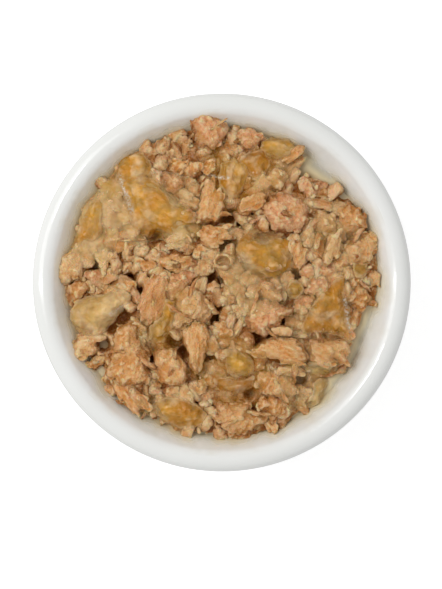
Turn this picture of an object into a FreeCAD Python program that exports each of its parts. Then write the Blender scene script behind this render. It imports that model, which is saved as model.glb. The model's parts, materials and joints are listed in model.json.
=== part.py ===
import FreeCAD, Part
import math
import os
import random
from collections import namedtuple
from types import SimpleNamespace

import Sketcher

# A round glazed dish filled with flaked wet cat food: meat flakes and lumps of jelly in one
# uneven heap, standing in a little broth.
# Millimetres, +Z up, north is +Y. The origin is the centre of the foot ring, on the surface
# that the dish stands on.

SIZES = {
    # the dish
    "dish_diameter": (110, "outside of the lip"),
    "dish_height": (32, "table to the top of the lip"),
    "lip_radius": (3.6, "rounding of the rolled lip"),
    "wall_angle": (52, "inner wall above the level, degrees"),
    "outer_angle": (45, "outer wall above the level, degrees"),
    "bend_radius": (22, "inside, from the floor into the wall"),
    "floor_height": (6, "table to the inside floor"),
    "foot_height": (4, "table to the foot of the outer wall"),
    "foot_width": (4, "width of the ring that stands on the table"),
    "recess_height": (2.5, "table to the underside within the foot ring"),
    "foot_fillet": (2, "between the outer wall and the foot ring"),
    "rim_fillet": (1, "both edges of the foot ring"),
    # the broth
    "broth_drop": (6.3, "top of the lip down to the broth"),
    "moat_width": (2.2, "least width of broth kept between the heap and the wall"),
    # the heap of small flakes
    "crown_rise": (1.2, "heap's middle above the top of the lip"),
    "edge_rise": (1.2, "heap's edge above the broth"),
    "edge_overhang": (1.4, "heap's edge past the broth's outer line, where nothing holds it back"),
    "edge_wander": (0.9, "unevenness of the heap's outline"),
    "crust_wander": (0.9, "unevenness of the heap's top"),
    "crown_power": (2.4, "how square the heap's dome is"),
    # the larger flakes and lumps
    "seat_share": (0.4, "share of a chunk's thickness that is pressed into the heap"),
    "flake_wander": (0.28, "unevenness of a meat flake, as a share of its size"),
    "jelly_wander": (0.14, "unevenness of a jelly lump, as a share of its size"),
    "flake_squareness": (0.85, "power of the flake's section: 1 is round, less is squarer"),
    "jelly_squareness": (0.7, "power of the lump's section: 1 is round, less is squarer"),
}

HEAP_AROUND = 36
HEAP_RINGS = 9
HEAP_SEED = 5
LARGE_CHUNK = 11
LARGE_SKIN = (11, 4)
SMALL_SKIN = (8, 3)

# Where the heap draws back from the wall: direction and half width in degrees, depth in mm.
Bay = namedtuple("Bay", "direction half_width depth")
BAYS = (
    Bay(54, 15, 8.0),
    Bay(74, 8, 3.0),
    Bay(-19, 13, 7.0),
    Bay(-48, 18, 5.0),
    Bay(-100, 10, 3.5),
    Bay(-118, 9, 4.0),
    Bay(-143, 9, 4.0),
    Bay(-167, 7, 2.5),
    Bay(162, 9, 2.5),
    Bay(139, 9, 2.0),
)

# East and north are shares of the broth's outer radius; length runs along the yaw.
Chunk = namedtuple("Chunk", "name east north length width thickness yaw lift")
CHUNKS = (
    Chunk("jelly_01", -0.57, 0.73, 11, 11, 5, 0, 0),
    Chunk("jelly_02", -0.40, 0.47, 20, 11, 6, -35, 0.3),
    Chunk("jelly_03", -0.84, 0.39, 13, 8, 4.5, 75, 0),
    Chunk("jelly_04", -0.80, -0.19, 17, 10, 6, 20, 0.3),
    Chunk("jelly_05", -0.39, -0.28, 13, 6, 5, 65, 0),
    Chunk("jelly_06", -0.28, -0.83, 13, 8, 5, 0, 0),
    Chunk("jelly_07", 0.28, 0.17, 16, 12, 6, 0, 0.3),
    Chunk("jelly_08", 0.08, 0.66, 11, 8, 5, 90, 0),
    Chunk("jelly_09", 0.37, 0.87, 10, 8, 4.5, 0, 0),
    Chunk("jelly_10", 0.21, 0.78, 9, 7, 4, 30, 0.2),
    Chunk("jelly_11", 0.68, -0.20, 14, 13, 5, -60, 0.3),
    Chunk("jelly_12", 0.47, -0.04, 6, 6, 4, 0, 0),
    Chunk("jelly_13", 0.10, -0.53, 10, 8, 5, 0, 0),
    Chunk("jelly_14", 0.10, -0.66, 10, 6, 5, 0, 0),
    Chunk("jelly_15", 0.63, -0.54, 7, 4, 4, 0, 0),
    Chunk("jelly_16", 0.62, -0.71, 9, 5, 4, 75, 0),
    Chunk("jelly_17", 0.89, 0.10, 6, 5, 4, 0, 0),
    Chunk("flake_01", -0.10, 0.97, 13, 10, 7, 110, 0.5),
    Chunk("flake_02", -0.20, 0.73, 10, 5, 5, 0, 0),
    Chunk("flake_03", -0.31, 0.64, 7, 7, 5.5, 0, 0),
    Chunk("flake_04", -0.07, 0.51, 14, 8, 6, 78, 1.2),
    Chunk("flake_05", -0.06, 0.31, 10, 6, 5, -2, 1.0),
    Chunk("flake_06", -0.27, 0.30, 8, 4.5, 4.5, 35, 0.2),
    Chunk("flake_07", -0.29, 0.13, 11, 5.5, 5, 5, 0.2),
    Chunk("flake_08", -0.71, 0.47, 11, 6, 5, 80, 0),
    Chunk("flake_09", -0.64, 0.27, 10, 6, 5, 0, 0),
    Chunk("flake_10", -0.98, 0.12, 11, 8.5, 6, 10, 0.3),
    Chunk("flake_11", -0.93, -0.04, 7, 7, 5, 0, 0),
    Chunk("flake_12", -0.44, -0.13, 11, 8, 6, 75, 0),
    Chunk("flake_13", -0.27, -0.01, 8, 8, 6, 0, 0),
    Chunk("flake_14", -0.21, -0.17, 13, 9, 6, 70, 1.0),
    Chunk("flake_15", -0.17, -0.43, 12, 6, 5.5, 90, 0.2),
    Chunk("flake_16", -0.60, -0.47, 17, 12, 7, 100, 0.5),
    Chunk("flake_17", -0.61, -0.73, 13, 6, 5, -60, 0.2),
    Chunk("flake_18", -0.32, -0.54, 13, 8, 6, -70, 0.5),
    Chunk("flake_19", -0.87, -0.41, 8, 7, 5, 0, 0),
    Chunk("flake_20", 0.17, 0.92, 8, 8, 5, 0, 0),
    Chunk("flake_21", 0.34, 0.67, 8, 7, 5, 0, 0),
    Chunk("flake_22", 0.54, 0.61, 7, 7, 5, 0, 0),
    Chunk("flake_23", 0.19, 0.52, 9, 5.5, 5, 20, 0),
    Chunk("flake_24", 0.41, 0.44, 14.5, 11.5, 7, -10, 0.6),
    Chunk("flake_25", 0.69, 0.39, 7, 6.5, 5, -45, 0),
    Chunk("flake_26", 0.71, 0.22, 9, 5, 4.5, 60, 0.3),
    Chunk("flake_27", 0.84, 0.42, 10, 9, 6, 0, 0.2),
    Chunk("flake_28", 0.90, 0.23, 12, 8, 6, 30, 0.4),
    Chunk("flake_29", 0.89, -0.08, 8, 8, 5.5, 0, 0),
    Chunk("flake_30", 0.01, 0.13, 7, 6, 5, 0, 0.4),
    Chunk("flake_31", 0.51, 0.18, 10, 5, 5, 80, 0),
    Chunk("flake_32", 0.30, -0.05, 8, 6, 5, -40, 0.2),
    Chunk("flake_33", 0.30, -0.22, 12, 10, 7, 0, 0.8),
    Chunk("flake_34", 0.39, -0.43, 15, 7, 6, -15, 0.4),
    Chunk("flake_35", 0.38, -0.66, 12, 7, 6, 0, 0.3),
    Chunk("flake_36", 0.70, -0.43, 11, 6, 5, -30, 0),
    Chunk("flake_37", 0.11, -0.87, 14, 10, 7, 0, 0.5),
    Chunk("flake_38", 0.31, -0.79, 9, 6, 5, 20, 0),
)


# ---------------------------------------------------------------- the sheets


def fill_size_sheet(doc):
    """Write every named size into a sheet, one row each, and return the sheet."""
    sheet = doc.addObject("Spreadsheet::Sheet", "Sizes")
    for row, (name, (value, note)) in enumerate(SIZES.items(), start=1):
        sheet.set(f"A{row}", name)
        sheet.set(f"B{row}", str(value))
        sheet.set(f"C{row}", note)
        sheet.setAlias(f"B{row}", name)
    doc.recompute()
    return sheet


def fill_chunk_sheet(doc):
    """Write the table of flakes and lumps into a sheet, one row each, and return the sheet."""
    sheet = doc.addObject("Spreadsheet::Sheet", "Chunks")
    for row, chunk in enumerate(CHUNKS, start=1):
        sheet.set(f"A{row}", chunk.name)
        for column, field in zip("BCDEFGH", Chunk._fields[1:]):
            sheet.set(f"{column}{row}", str(getattr(chunk, field)))
            sheet.setAlias(f"{column}{row}", f"{chunk.name}_{field}")
    doc.recompute()
    return sheet


def read_sizes(sheet):
    """The sheet's sizes as plain numbers, by name."""
    return SimpleNamespace(**{name: float(sheet.get(name)) for name in SIZES})


def read_chunk(sheet, name):
    """One row of the chunk sheet."""
    values = [float(sheet.get(f"{name}_{field}")) for field in Chunk._fields[1:]]
    return Chunk(name, *values)


# ---------------------------------------------------------------- the dish's section


def section_points(size):
    """Points and centres of the dish's section (x outwards, y up), worked out from the sizes."""
    wall = math.radians(size.wall_angle)
    outer = math.radians(size.outer_angle)
    lip = FreeCAD.Vector(size.dish_diameter / 2 - size.lip_radius, size.dish_height - size.lip_radius, 0)
    wall_top = lip + FreeCAD.Vector(-math.sin(wall), math.cos(wall), 0) * size.lip_radius
    outer_top = lip + FreeCAD.Vector(math.sin(outer), -math.cos(outer), 0) * size.lip_radius
    bend_top_height = size.floor_height + size.bend_radius * (1 - math.cos(wall))
    bend_top_reach = wall_top.x - (wall_top.y - bend_top_height) / math.tan(wall)
    bend_top = FreeCAD.Vector(bend_top_reach, bend_top_height, 0)
    bend_reach = bend_top_reach - size.bend_radius * math.sin(wall)
    bend = FreeCAD.Vector(bend_reach, size.floor_height + size.bend_radius, 0)
    foot_reach = outer_top.x - (outer_top.y - size.foot_height) / math.tan(outer)
    return SimpleNamespace(
        lip=lip,
        wall_top=wall_top,
        outer_top=outer_top,
        bend=bend,
        bend_top=bend_top,
        floor_middle=FreeCAD.Vector(0, size.floor_height, 0),
        floor_edge=FreeCAD.Vector(bend_reach, size.floor_height, 0),
        foot_reach=foot_reach,
    )


def wall_reach(size, height):
    """Distance from the axis to the inner wall's straight line, at a height."""
    top = section_points(size).wall_top
    return top.x - (top.y - height) / math.tan(math.radians(size.wall_angle))


def bind(sketch, constraint, name, expression):
    """Add a dimension to a sketch, named and driven by the size sheet."""
    index = sketch.addConstraint(constraint)
    sketch.renameConstraint(index, name)
    sketch.setExpression(f"Constraints.{name}", expression)


def section_sketch(body, name):
    """A new sketch on the body's own upright plane."""
    sketch = body.newObject("Sketcher::SketchObject", name)
    upright = next(plane for plane in body.Origin.OriginFeatures if plane.Role == "XZ_Plane")
    sketch.AttachmentSupport = (upright, [""])
    sketch.MapMode = "FlatFace"
    return sketch


def add_inside_lines(sketch, size, wall_end):
    """Draw the inside of the dish: floor (0), bend (1) and wall (2), with their dimensions."""
    points = section_points(size)
    upwards = FreeCAD.Vector(0, 0, 1)
    bend_circle = Part.Circle(points.bend, upwards, size.bend_radius)
    bend_end = math.radians(size.wall_angle - 90)
    sketch.addGeometry(Part.LineSegment(points.floor_middle, points.floor_edge), False)
    sketch.addGeometry(Part.ArcOfCircle(bend_circle, -math.pi / 2, bend_end), False)
    sketch.addGeometry(Part.LineSegment(points.bend_top, wall_end), False)
    sketch.addConstraint(Sketcher.Constraint("Horizontal", 0))
    sketch.addConstraint(Sketcher.Constraint("Tangent", 0, 2, 1, 1))
    sketch.addConstraint(Sketcher.Constraint("Tangent", 1, 2, 2, 1))
    floor = Sketcher.Constraint("DistanceY", -1, 1, 0, 1, size.floor_height)
    bind(sketch, floor, "floor_height", "Sizes.floor_height")
    bind(sketch, Sketcher.Constraint("Radius", 1, size.bend_radius), "bend_radius", "Sizes.bend_radius")
    slope = Sketcher.Constraint("Angle", 2, math.radians(size.wall_angle))
    bind(sketch, slope, "wall_angle", "Sizes.wall_angle * 1 deg")


def bind_lip(sketch, size, index):
    """Place and size the lip's circle or arc."""
    points = section_points(size)
    reach = Sketcher.Constraint("DistanceX", -1, 1, index, 3, points.lip.x)
    bind(sketch, reach, "lip_reach", "Sizes.dish_diameter / 2 - Sizes.lip_radius")
    height = Sketcher.Constraint("DistanceY", -1, 1, index, 3, points.lip.y)
    bind(sketch, height, "lip_centre_height", "Sizes.dish_height - Sizes.lip_radius")
    bind(sketch, Sketcher.Constraint("Radius", index, size.lip_radius), "lip_radius", "Sizes.lip_radius")


def draw_dish_section(body, size):
    """The dish's whole section, closed along the axis."""
    points = section_points(size)
    sketch = section_sketch(body, "DishSection")
    add_inside_lines(sketch, size, points.wall_top)
    lip_circle = Part.Circle(points.lip, FreeCAD.Vector(0, 0, 1), size.lip_radius)
    lip_start = math.radians(size.outer_angle - 90)
    lip_end = math.radians(size.wall_angle + 90)
    inner_foot = points.foot_reach - size.foot_width
    corners = [
        FreeCAD.Vector(points.foot_reach, size.foot_height, 0),
        FreeCAD.Vector(points.foot_reach, 0, 0),
        FreeCAD.Vector(inner_foot, 0, 0),
        FreeCAD.Vector(inner_foot, size.recess_height, 0),
        FreeCAD.Vector(0, size.recess_height, 0),
        points.floor_middle,
    ]
    sketch.addGeometry(Part.ArcOfCircle(lip_circle, lip_start, lip_end), False)
    sketch.addGeometry(Part.LineSegment(corners[0], points.outer_top), False)
    for start, end in zip(corners, corners[1:]):
        sketch.addGeometry(Part.LineSegment(start, end), False)
    lip, outer, foot_side, foot_rim, foot_inside, underside, axis = range(3, 10)
    sketch.addConstraint(Sketcher.Constraint("Tangent", 2, 2, lip, 2))
    sketch.addConstraint(Sketcher.Constraint("Tangent", lip, 1, outer, 2))
    sketch.addConstraint(Sketcher.Constraint("Coincident", outer, 1, foot_side, 1))
    for line in range(foot_side, axis):
        sketch.addConstraint(Sketcher.Constraint("Coincident", line, 2, line + 1, 1))
    sketch.addConstraint(Sketcher.Constraint("Coincident", axis, 2, 0, 1))
    for line in (foot_side, foot_inside, axis):
        sketch.addConstraint(Sketcher.Constraint("Vertical", line))
    for line in (foot_rim, underside):
        sketch.addConstraint(Sketcher.Constraint("Horizontal", line))
    sketch.addConstraint(Sketcher.Constraint("PointOnObject", 0, 1, -2))
    sketch.addConstraint(Sketcher.Constraint("PointOnObject", foot_rim, 1, -1))
    bind_lip(sketch, size, lip)
    slope = Sketcher.Constraint("Angle", outer, math.radians(size.outer_angle))
    bind(sketch, slope, "outer_angle", "Sizes.outer_angle * 1 deg")
    foot_top = Sketcher.Constraint("DistanceY", -1, 1, outer, 1, size.foot_height)
    bind(sketch, foot_top, "foot_height", "Sizes.foot_height")
    foot_width = Sketcher.Constraint("DistanceX", foot_rim, 2, foot_rim, 1, size.foot_width)
    bind(sketch, foot_width, "foot_width", "Sizes.foot_width")
    recess = Sketcher.Constraint("DistanceY", -1, 1, underside, 1, size.recess_height)
    bind(sketch, recess, "recess_height", "Sizes.recess_height")
    return sketch


def turn(body, sketch, name):
    """Revolve a section about the upright axis."""
    turned = body.newObject("PartDesign::Revolution", name)
    turned.Profile = sketch
    turned.ReferenceAxis = (sketch, ["V_Axis"])
    turned.Angle = 360
    return turned


def ring_edge(shape, radius, height):
    """Name of the round edge nearest to a radius and height."""

    def miss(numbered):
        curve = numbered[1].Curve
        if not isinstance(curve, Part.Circle):
            return math.inf
        return abs(curve.Radius - radius) + abs(curve.Center.z - height)

    index, _ = min(enumerate(shape.Edges, start=1), key=miss)
    return f"Edge{index}"


def round_edges(body, base, edges, name, alias):
    """Fillet the named edges of a feature by a size from the sheet."""
    fillet = body.newObject("PartDesign::Fillet", name)
    fillet.Base = (base, edges)
    fillet.setExpression("Radius", f"Sizes.{alias}")
    return fillet


def make_dish(doc, size):
    """The glazed dish: one turned piece with a rolled lip and a foot ring."""
    body = doc.addObject("PartDesign::Body", "Dish")
    body.Label = "dish"
    turned = turn(body, draw_dish_section(body, size), "DishTurning")
    doc.recompute()
    foot_reach = section_points(size).foot_reach
    neck = ring_edge(turned.Shape, foot_reach, size.foot_height)
    neck_fillet = round_edges(body, turned, [neck], "FootFillet", "foot_fillet")
    doc.recompute()
    rims = [ring_edge(neck_fillet.Shape, reach, 0) for reach in (foot_reach, foot_reach - size.foot_width)]
    round_edges(body, neck_fillet, rims, "RimFillet", "rim_fillet")
    doc.recompute()
    return body


def make_bowl_space(doc, size):
    """The space inside the dish, its wall carried on upwards past the heap."""
    body = doc.addObject("PartDesign::Body", "BowlSpace")
    sketch = section_sketch(body, "SpaceSection")
    top = size.dish_height * 2
    wall_end = FreeCAD.Vector(wall_reach(size, top), top, 0)
    add_inside_lines(sketch, size, wall_end)
    top_middle = FreeCAD.Vector(0, top, 0)
    sketch.addGeometry(Part.LineSegment(wall_end, top_middle), False)
    sketch.addGeometry(Part.LineSegment(top_middle, section_points(size).floor_middle), False)
    lip_circle = Part.Circle(section_points(size).lip, FreeCAD.Vector(0, 0, 1), size.lip_radius)
    sketch.addGeometry(lip_circle, True)
    wall, roof, axis, lip = range(2, 6)
    sketch.addConstraint(Sketcher.Constraint("Coincident", wall, 2, roof, 1))
    sketch.addConstraint(Sketcher.Constraint("Coincident", roof, 2, axis, 1))
    sketch.addConstraint(Sketcher.Constraint("Coincident", axis, 2, 0, 1))
    sketch.addConstraint(Sketcher.Constraint("Horizontal", roof))
    sketch.addConstraint(Sketcher.Constraint("Vertical", axis))
    sketch.addConstraint(Sketcher.Constraint("PointOnObject", 0, 1, -2))
    bind_lip(sketch, size, lip)
    sketch.addConstraint(Sketcher.Constraint("Tangent", wall, lip))
    roof_height = Sketcher.Constraint("DistanceY", -1, 1, roof, 1, top)
    bind(sketch, roof_height, "roof_height", "Sizes.dish_height * 2")
    turn(body, sketch, "SpaceTurning")
    doc.recompute()
    return body


# ---------------------------------------------------------------- uneven shapes


class Waves:
    """A smooth uneven field between -1 and 1: the mean of a few seeded sine waves."""

    def __init__(self, seed, shortest, longest, count=5):
        rng = random.Random(seed)
        self.waves = []
        for _ in range(count):
            direction = FreeCAD.Vector(rng.gauss(0, 1), rng.gauss(0, 1), rng.gauss(0, 1)).normalize()
            number = direction * (2 * math.pi / rng.uniform(shortest, longest))
            self.waves.append((number, rng.uniform(0, 2 * math.pi)))

    def at(self, point):
        return sum(math.sin(number.dot(point) + phase) for number, phase in self.waves) / len(self.waves)


def closed_skin(top, rings, bottom):
    """A faceted solid from a top point, rings of equal count going down, and a bottom point."""
    around = len(rings[0])
    triangles = []
    for step in range(around):
        after = (step + 1) % around
        triangles.append((top, rings[0][step], rings[0][after]))
        triangles.append((bottom, rings[-1][after], rings[-1][step]))
        for upper, lower in zip(rings, rings[1:]):
            triangles.append((upper[step], lower[step], lower[after]))
            triangles.append((upper[step], lower[after], upper[after]))
    faces = [Part.Face(Part.makePolygon([a, b, c, a])) for a, b, c in triangles]
    return Part.makeSolid(Part.makeShell(faces))


class Heap:
    """The heap's form: how far it reaches in a direction, and how high it stands at a place."""

    def __init__(self, size):
        self.size = size
        self.broth_height = size.dish_height - size.broth_drop
        self.broth_reach = wall_reach(size, self.broth_height)
        self.outline_waves = Waves(HEAP_SEED, 7, 16)
        self.crust_waves = Waves(HEAP_SEED + 1, 9, 20, count=7)

    def bay_depth(self, direction):
        """How far the bays draw the outline in, at a direction in degrees."""
        depth = 0
        for bay in BAYS:
            offset = (direction - bay.direction + 180) % 360 - 180
            share = min(abs(offset) / bay.half_width, 1)
            depth = max(depth, bay.depth * (1 + math.cos(math.pi * share)) / 2)
        return depth

    def reach(self, angle):
        """Distance from the axis to the heap's edge, at an angle in radians."""
        full = self.broth_reach + self.size.edge_overhang
        place = FreeCAD.Vector(math.cos(angle), math.sin(angle), 0) * full
        wander = self.size.edge_wander * 2 * self.outline_waves.at(place)
        return full - self.bay_depth(math.degrees(angle)) + wander

    def height(self, x, y):
        """Height of the heap's top above the table."""
        share = min(math.hypot(x, y) / self.reach(math.atan2(y, x)), 1)
        edge = self.broth_height + self.size.edge_rise
        crown = self.size.dish_height + self.size.crown_rise
        wander = self.size.crust_wander * 2 * self.crust_waves.at(FreeCAD.Vector(x, y, 0))
        dome = edge + (crown - edge) * (1 - share**self.size.crown_power)
        return dome + wander * (1 - share**4)

    def normal(self, x, y, step=1.5):
        """Upward direction square to the heap's top."""
        slope_x = (self.height(x + step, y) - self.height(x - step, y)) / (2 * step)
        slope_y = (self.height(x, y + step) - self.height(x, y - step)) / (2 * step)
        return FreeCAD.Vector(-slope_x, -slope_y, 1).normalize()


def ring_at(shares, height_of):
    """One ring of points: shares is a list of (x, y), height_of gives each point's height."""
    return [FreeCAD.Vector(x, y, height_of(x, y)) for x, y in shares]


def heap_shape(heap):
    """The heap as one faceted block, from its uneven top down through the dish's floor."""
    size = heap.size
    angles = [2 * math.pi * step / HEAP_AROUND for step in range(HEAP_AROUND)]
    rings = []
    for ring in range(1, HEAP_RINGS + 1):
        share = ring / HEAP_RINGS
        twist = math.pi / HEAP_AROUND * (ring % 2)
        reaches = [(angle + twist, heap.reach(angle + twist) * share) for angle in angles]
        places = [(reach * math.cos(angle), reach * math.sin(angle)) for angle, reach in reaches]
        rings.append(ring_at(places, heap.height))
    moat = heap.broth_reach - size.moat_width
    for depth in (heap.broth_height - size.edge_rise / 2, 0):
        flank = []
        for angle in angles:
            reach = min(heap.reach(angle) - size.edge_rise / 2, moat)
            flank.append(FreeCAD.Vector(reach * math.cos(angle), reach * math.sin(angle), depth))
        rings.append(flank)
    top = FreeCAD.Vector(0, 0, heap.height(0, 0))
    return closed_skin(top, rings, FreeCAD.Vector(0, 0, 0))


def power(value, exponent):
    """A signed power, which makes a round section squarer when the exponent is under 1."""
    return math.copysign(abs(value) ** exponent, value)


def chunk_shape(chunk, heap, seed):
    """A flake or lump: an uneven rounded slab, lying square to the heap where it is seated."""
    size = heap.size
    jelly = chunk.name.startswith("jelly")
    wander = size.jelly_wander if jelly else size.flake_wander
    squareness = size.jelly_squareness if jelly else size.flake_squareness
    around, rows = LARGE_SKIN if chunk.length >= LARGE_CHUNK else SMALL_SKIN
    waves = Waves(seed, 0.9, 2.4)

    def skin_point(polar, turn_angle):
        flat = power(math.sin(polar), squareness)
        along = flat * power(math.cos(turn_angle), squareness)
        across = flat * power(math.sin(turn_angle), squareness)
        unit = FreeCAD.Vector(along, across, power(math.cos(polar), squareness))
        grown = unit * (1 + wander * 2 * waves.at(unit))
        return FreeCAD.Vector(
            grown.x * chunk.length / 2, grown.y * chunk.width / 2, grown.z * chunk.thickness / 2
        )

    rings = []
    for row in range(1, rows + 1):
        polar = math.pi * row / (rows + 1)
        turns = [2 * math.pi * step / around for step in range(around)]
        rings.append([skin_point(polar, angle) for angle in turns])
    slab = closed_skin(skin_point(0, 0), rings, skin_point(math.pi, 0))
    x = chunk.east * heap.broth_reach
    y = chunk.north * heap.broth_reach
    normal = heap.normal(x, y)
    rise = chunk.thickness * (0.5 - size.seat_share) + chunk.lift
    seat = FreeCAD.Vector(x, y, heap.height(x, y)) + normal * rise
    lean = FreeCAD.Rotation(FreeCAD.Vector(0, 0, 1), normal)
    yaw = FreeCAD.Rotation(FreeCAD.Vector(0, 0, 1), chunk.yaw)
    slab.Placement = FreeCAD.Placement(seat, lean.multiply(yaw))
    return slab


def largest_solid(shape):
    """The largest solid of a shape, so that a trimmed piece stays one piece."""
    return max(shape.Solids, key=lambda solid: solid.Volume)


def trimmed_chunks(chunks, heap, held, bowl_space):
    """Each chunk's shape, cut back to the heap, the dish's wall and the chunks that lie over it."""
    order = sorted(chunks, key=lambda chunk: chunk.lift)
    raw = {chunk.name: chunk_shape(chunk, heap, seed) for seed, chunk in enumerate(order)}
    shapes = {}
    for place, chunk in enumerate(order):
        shape = raw[chunk.name]
        above = [raw[upper.name] for upper in order[place + 1 :]]
        near = [upper for upper in above if shape.BoundBox.intersect(upper.BoundBox)]
        if any(corner.Point.z < wall_height(heap.size, corner.Point) for corner in shape.Vertexes):
            shape = shape.common(bowl_space)
        shapes[chunk.name] = largest_solid(shape.cut([held] + near))
    return shapes


def wall_height(size, point):
    """Height of the inner wall's straight line over a point of the plan."""
    top = section_points(size).wall_top
    return top.y + (math.hypot(point.x, point.y) - top.x) * math.tan(math.radians(size.wall_angle))


# ---------------------------------------------------------------- the food's document objects


def add_feature(doc, label, shape):
    """A document object that holds a finished shape."""
    feature = doc.addObject("Part::Feature", label)
    feature.Label = label
    feature.Shape = shape
    feature.Placement = shape.Placement
    return feature


def make_heap(doc, heap, bowl_space):
    """The heap of small flakes, held in the bowl."""
    held = doc.addObject("Part::Common", "HeapInBowl")
    held.Label = "meat_heap"
    held.Base = add_feature(doc, "HeapBlock", heap_shape(heap))
    held.Tool = bowl_space
    doc.recompute()
    return held


def make_chunks(doc, heap, held, bowl_space, sheet):
    """One object for each larger flake and lump."""
    chunks = [read_chunk(sheet, chunk.name) for chunk in CHUNKS]
    shapes = trimmed_chunks(chunks, heap, held.Shape, bowl_space.Shape)
    return [add_feature(doc, chunk.name, shapes[chunk.name]) for chunk in chunks]


def make_broth(doc, bowl_space, held, chunks):
    """The broth, filled in round the heap up to its level."""
    level = doc.addObject("Part::Cylinder", "BrothLevel")
    level.setExpression("Radius", "Sizes.dish_diameter / 2")
    level.setExpression("Height", "Sizes.dish_height - Sizes.broth_drop")
    fill = doc.addObject("Part::Common", "BrothFill")
    fill.Base = bowl_space
    fill.Tool = level
    doc.recompute()
    dipping = [chunk.Shape for chunk in chunks if chunk.Shape.BoundBox.intersect(fill.Shape.BoundBox)]
    poured = fill.Shape.cut([held.Shape] + dipping)
    return add_feature(doc, "broth", largest_solid(poured))


def check(doc, nodes):
    """Stop if any object failed or any node's shape is empty or not valid."""
    for item in doc.Objects:
        if {"Invalid", "Error"} & set(item.State):
            raise RuntimeError(f"{item.Label} failed: {item.State}")
    for node in nodes:
        if node.Shape.isNull() or not node.Shape.isValid():
            raise RuntimeError(f"{node.Label} has no valid shape")
        if len(node.Shape.Solids) != 1:
            raise RuntimeError(f"{node.Label} isn't one solid")


def main():
    doc = FreeCAD.newDocument("CatFoodDish")
    size = read_sizes(fill_size_sheet(doc))
    chunk_sheet = fill_chunk_sheet(doc)
    dish = make_dish(doc, size)
    bowl_space = make_bowl_space(doc, size)
    heap = Heap(size)
    meat = make_heap(doc, heap, bowl_space)
    chunks = make_chunks(doc, heap, meat, bowl_space, chunk_sheet)
    broth = make_broth(doc, bowl_space, meat, chunks)
    doc.recompute()
    nodes = [dish, broth, meat] + chunks
    check(doc, nodes)
    os.makedirs("parts", exist_ok=True)
    for node in nodes:
        node.Shape.exportStep(f"parts/{node.Label}.step")
        print(f"{node.Label}: {node.Shape.Volume / 1000:.2f} cc, {len(node.Shape.Faces)} faces")


main()
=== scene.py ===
import json
import logging
import math
import random
from dataclasses import dataclass, field
from enum import Enum
from typing import Iterable, Optional, Sequence

import bpy
import numpy as np
from mathutils import Euler, Matrix, Vector
from mathutils.bvhtree import BVHTree

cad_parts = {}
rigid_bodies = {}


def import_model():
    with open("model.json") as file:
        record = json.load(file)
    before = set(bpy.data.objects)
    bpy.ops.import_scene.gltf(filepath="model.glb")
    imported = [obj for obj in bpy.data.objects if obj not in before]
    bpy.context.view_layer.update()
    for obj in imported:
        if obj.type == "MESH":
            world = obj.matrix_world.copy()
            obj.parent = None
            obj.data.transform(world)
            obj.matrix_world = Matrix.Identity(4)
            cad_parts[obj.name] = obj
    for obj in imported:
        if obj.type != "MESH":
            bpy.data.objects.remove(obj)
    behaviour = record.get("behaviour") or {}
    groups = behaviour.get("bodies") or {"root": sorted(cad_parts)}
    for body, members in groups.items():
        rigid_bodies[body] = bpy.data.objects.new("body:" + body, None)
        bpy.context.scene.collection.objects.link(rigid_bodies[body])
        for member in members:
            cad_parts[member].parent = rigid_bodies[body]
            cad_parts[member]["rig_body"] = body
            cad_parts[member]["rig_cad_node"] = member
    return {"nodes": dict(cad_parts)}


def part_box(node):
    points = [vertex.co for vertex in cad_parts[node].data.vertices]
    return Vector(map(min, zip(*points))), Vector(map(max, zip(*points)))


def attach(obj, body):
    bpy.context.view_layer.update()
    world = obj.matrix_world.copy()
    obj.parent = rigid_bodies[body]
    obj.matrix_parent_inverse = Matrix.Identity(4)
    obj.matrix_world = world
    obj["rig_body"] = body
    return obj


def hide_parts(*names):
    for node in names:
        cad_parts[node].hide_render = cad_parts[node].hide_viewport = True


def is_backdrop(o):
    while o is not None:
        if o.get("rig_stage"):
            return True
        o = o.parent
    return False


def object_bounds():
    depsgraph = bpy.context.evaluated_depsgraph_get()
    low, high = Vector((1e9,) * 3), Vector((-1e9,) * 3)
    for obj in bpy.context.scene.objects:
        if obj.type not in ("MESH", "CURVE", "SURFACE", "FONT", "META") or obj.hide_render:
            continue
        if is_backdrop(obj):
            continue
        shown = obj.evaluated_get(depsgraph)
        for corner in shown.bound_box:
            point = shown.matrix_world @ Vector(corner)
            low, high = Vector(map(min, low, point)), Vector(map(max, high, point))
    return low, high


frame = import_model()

log = logging.getLogger("cat_food_dish")

MM = 0.001
ROOT = "root"
SEED = 41


class Cut(Enum):
    """How a flake of meat broke off."""

    CRUMBLY = "crumbly"
    SLAB = "slab"
    FIBROUS = "fibrous"
    SMOOTH = "smooth"
    CUP = "cup"


class Tone(Enum):
    """Place of a flake's colour on the meat's colour ramp."""

    CREAM = 0.05
    TAN = 0.35
    ORANGE = 0.62
    PINK = 0.92


class Gel(Enum):
    """Place of a lump's colour on the jelly's colour ramp."""

    PALE = 0.1
    OLIVE = 0.4
    AMBER = 0.7
    DEEP = 0.95


# ------------------------------------------------------------------ modelling by hand


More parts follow.
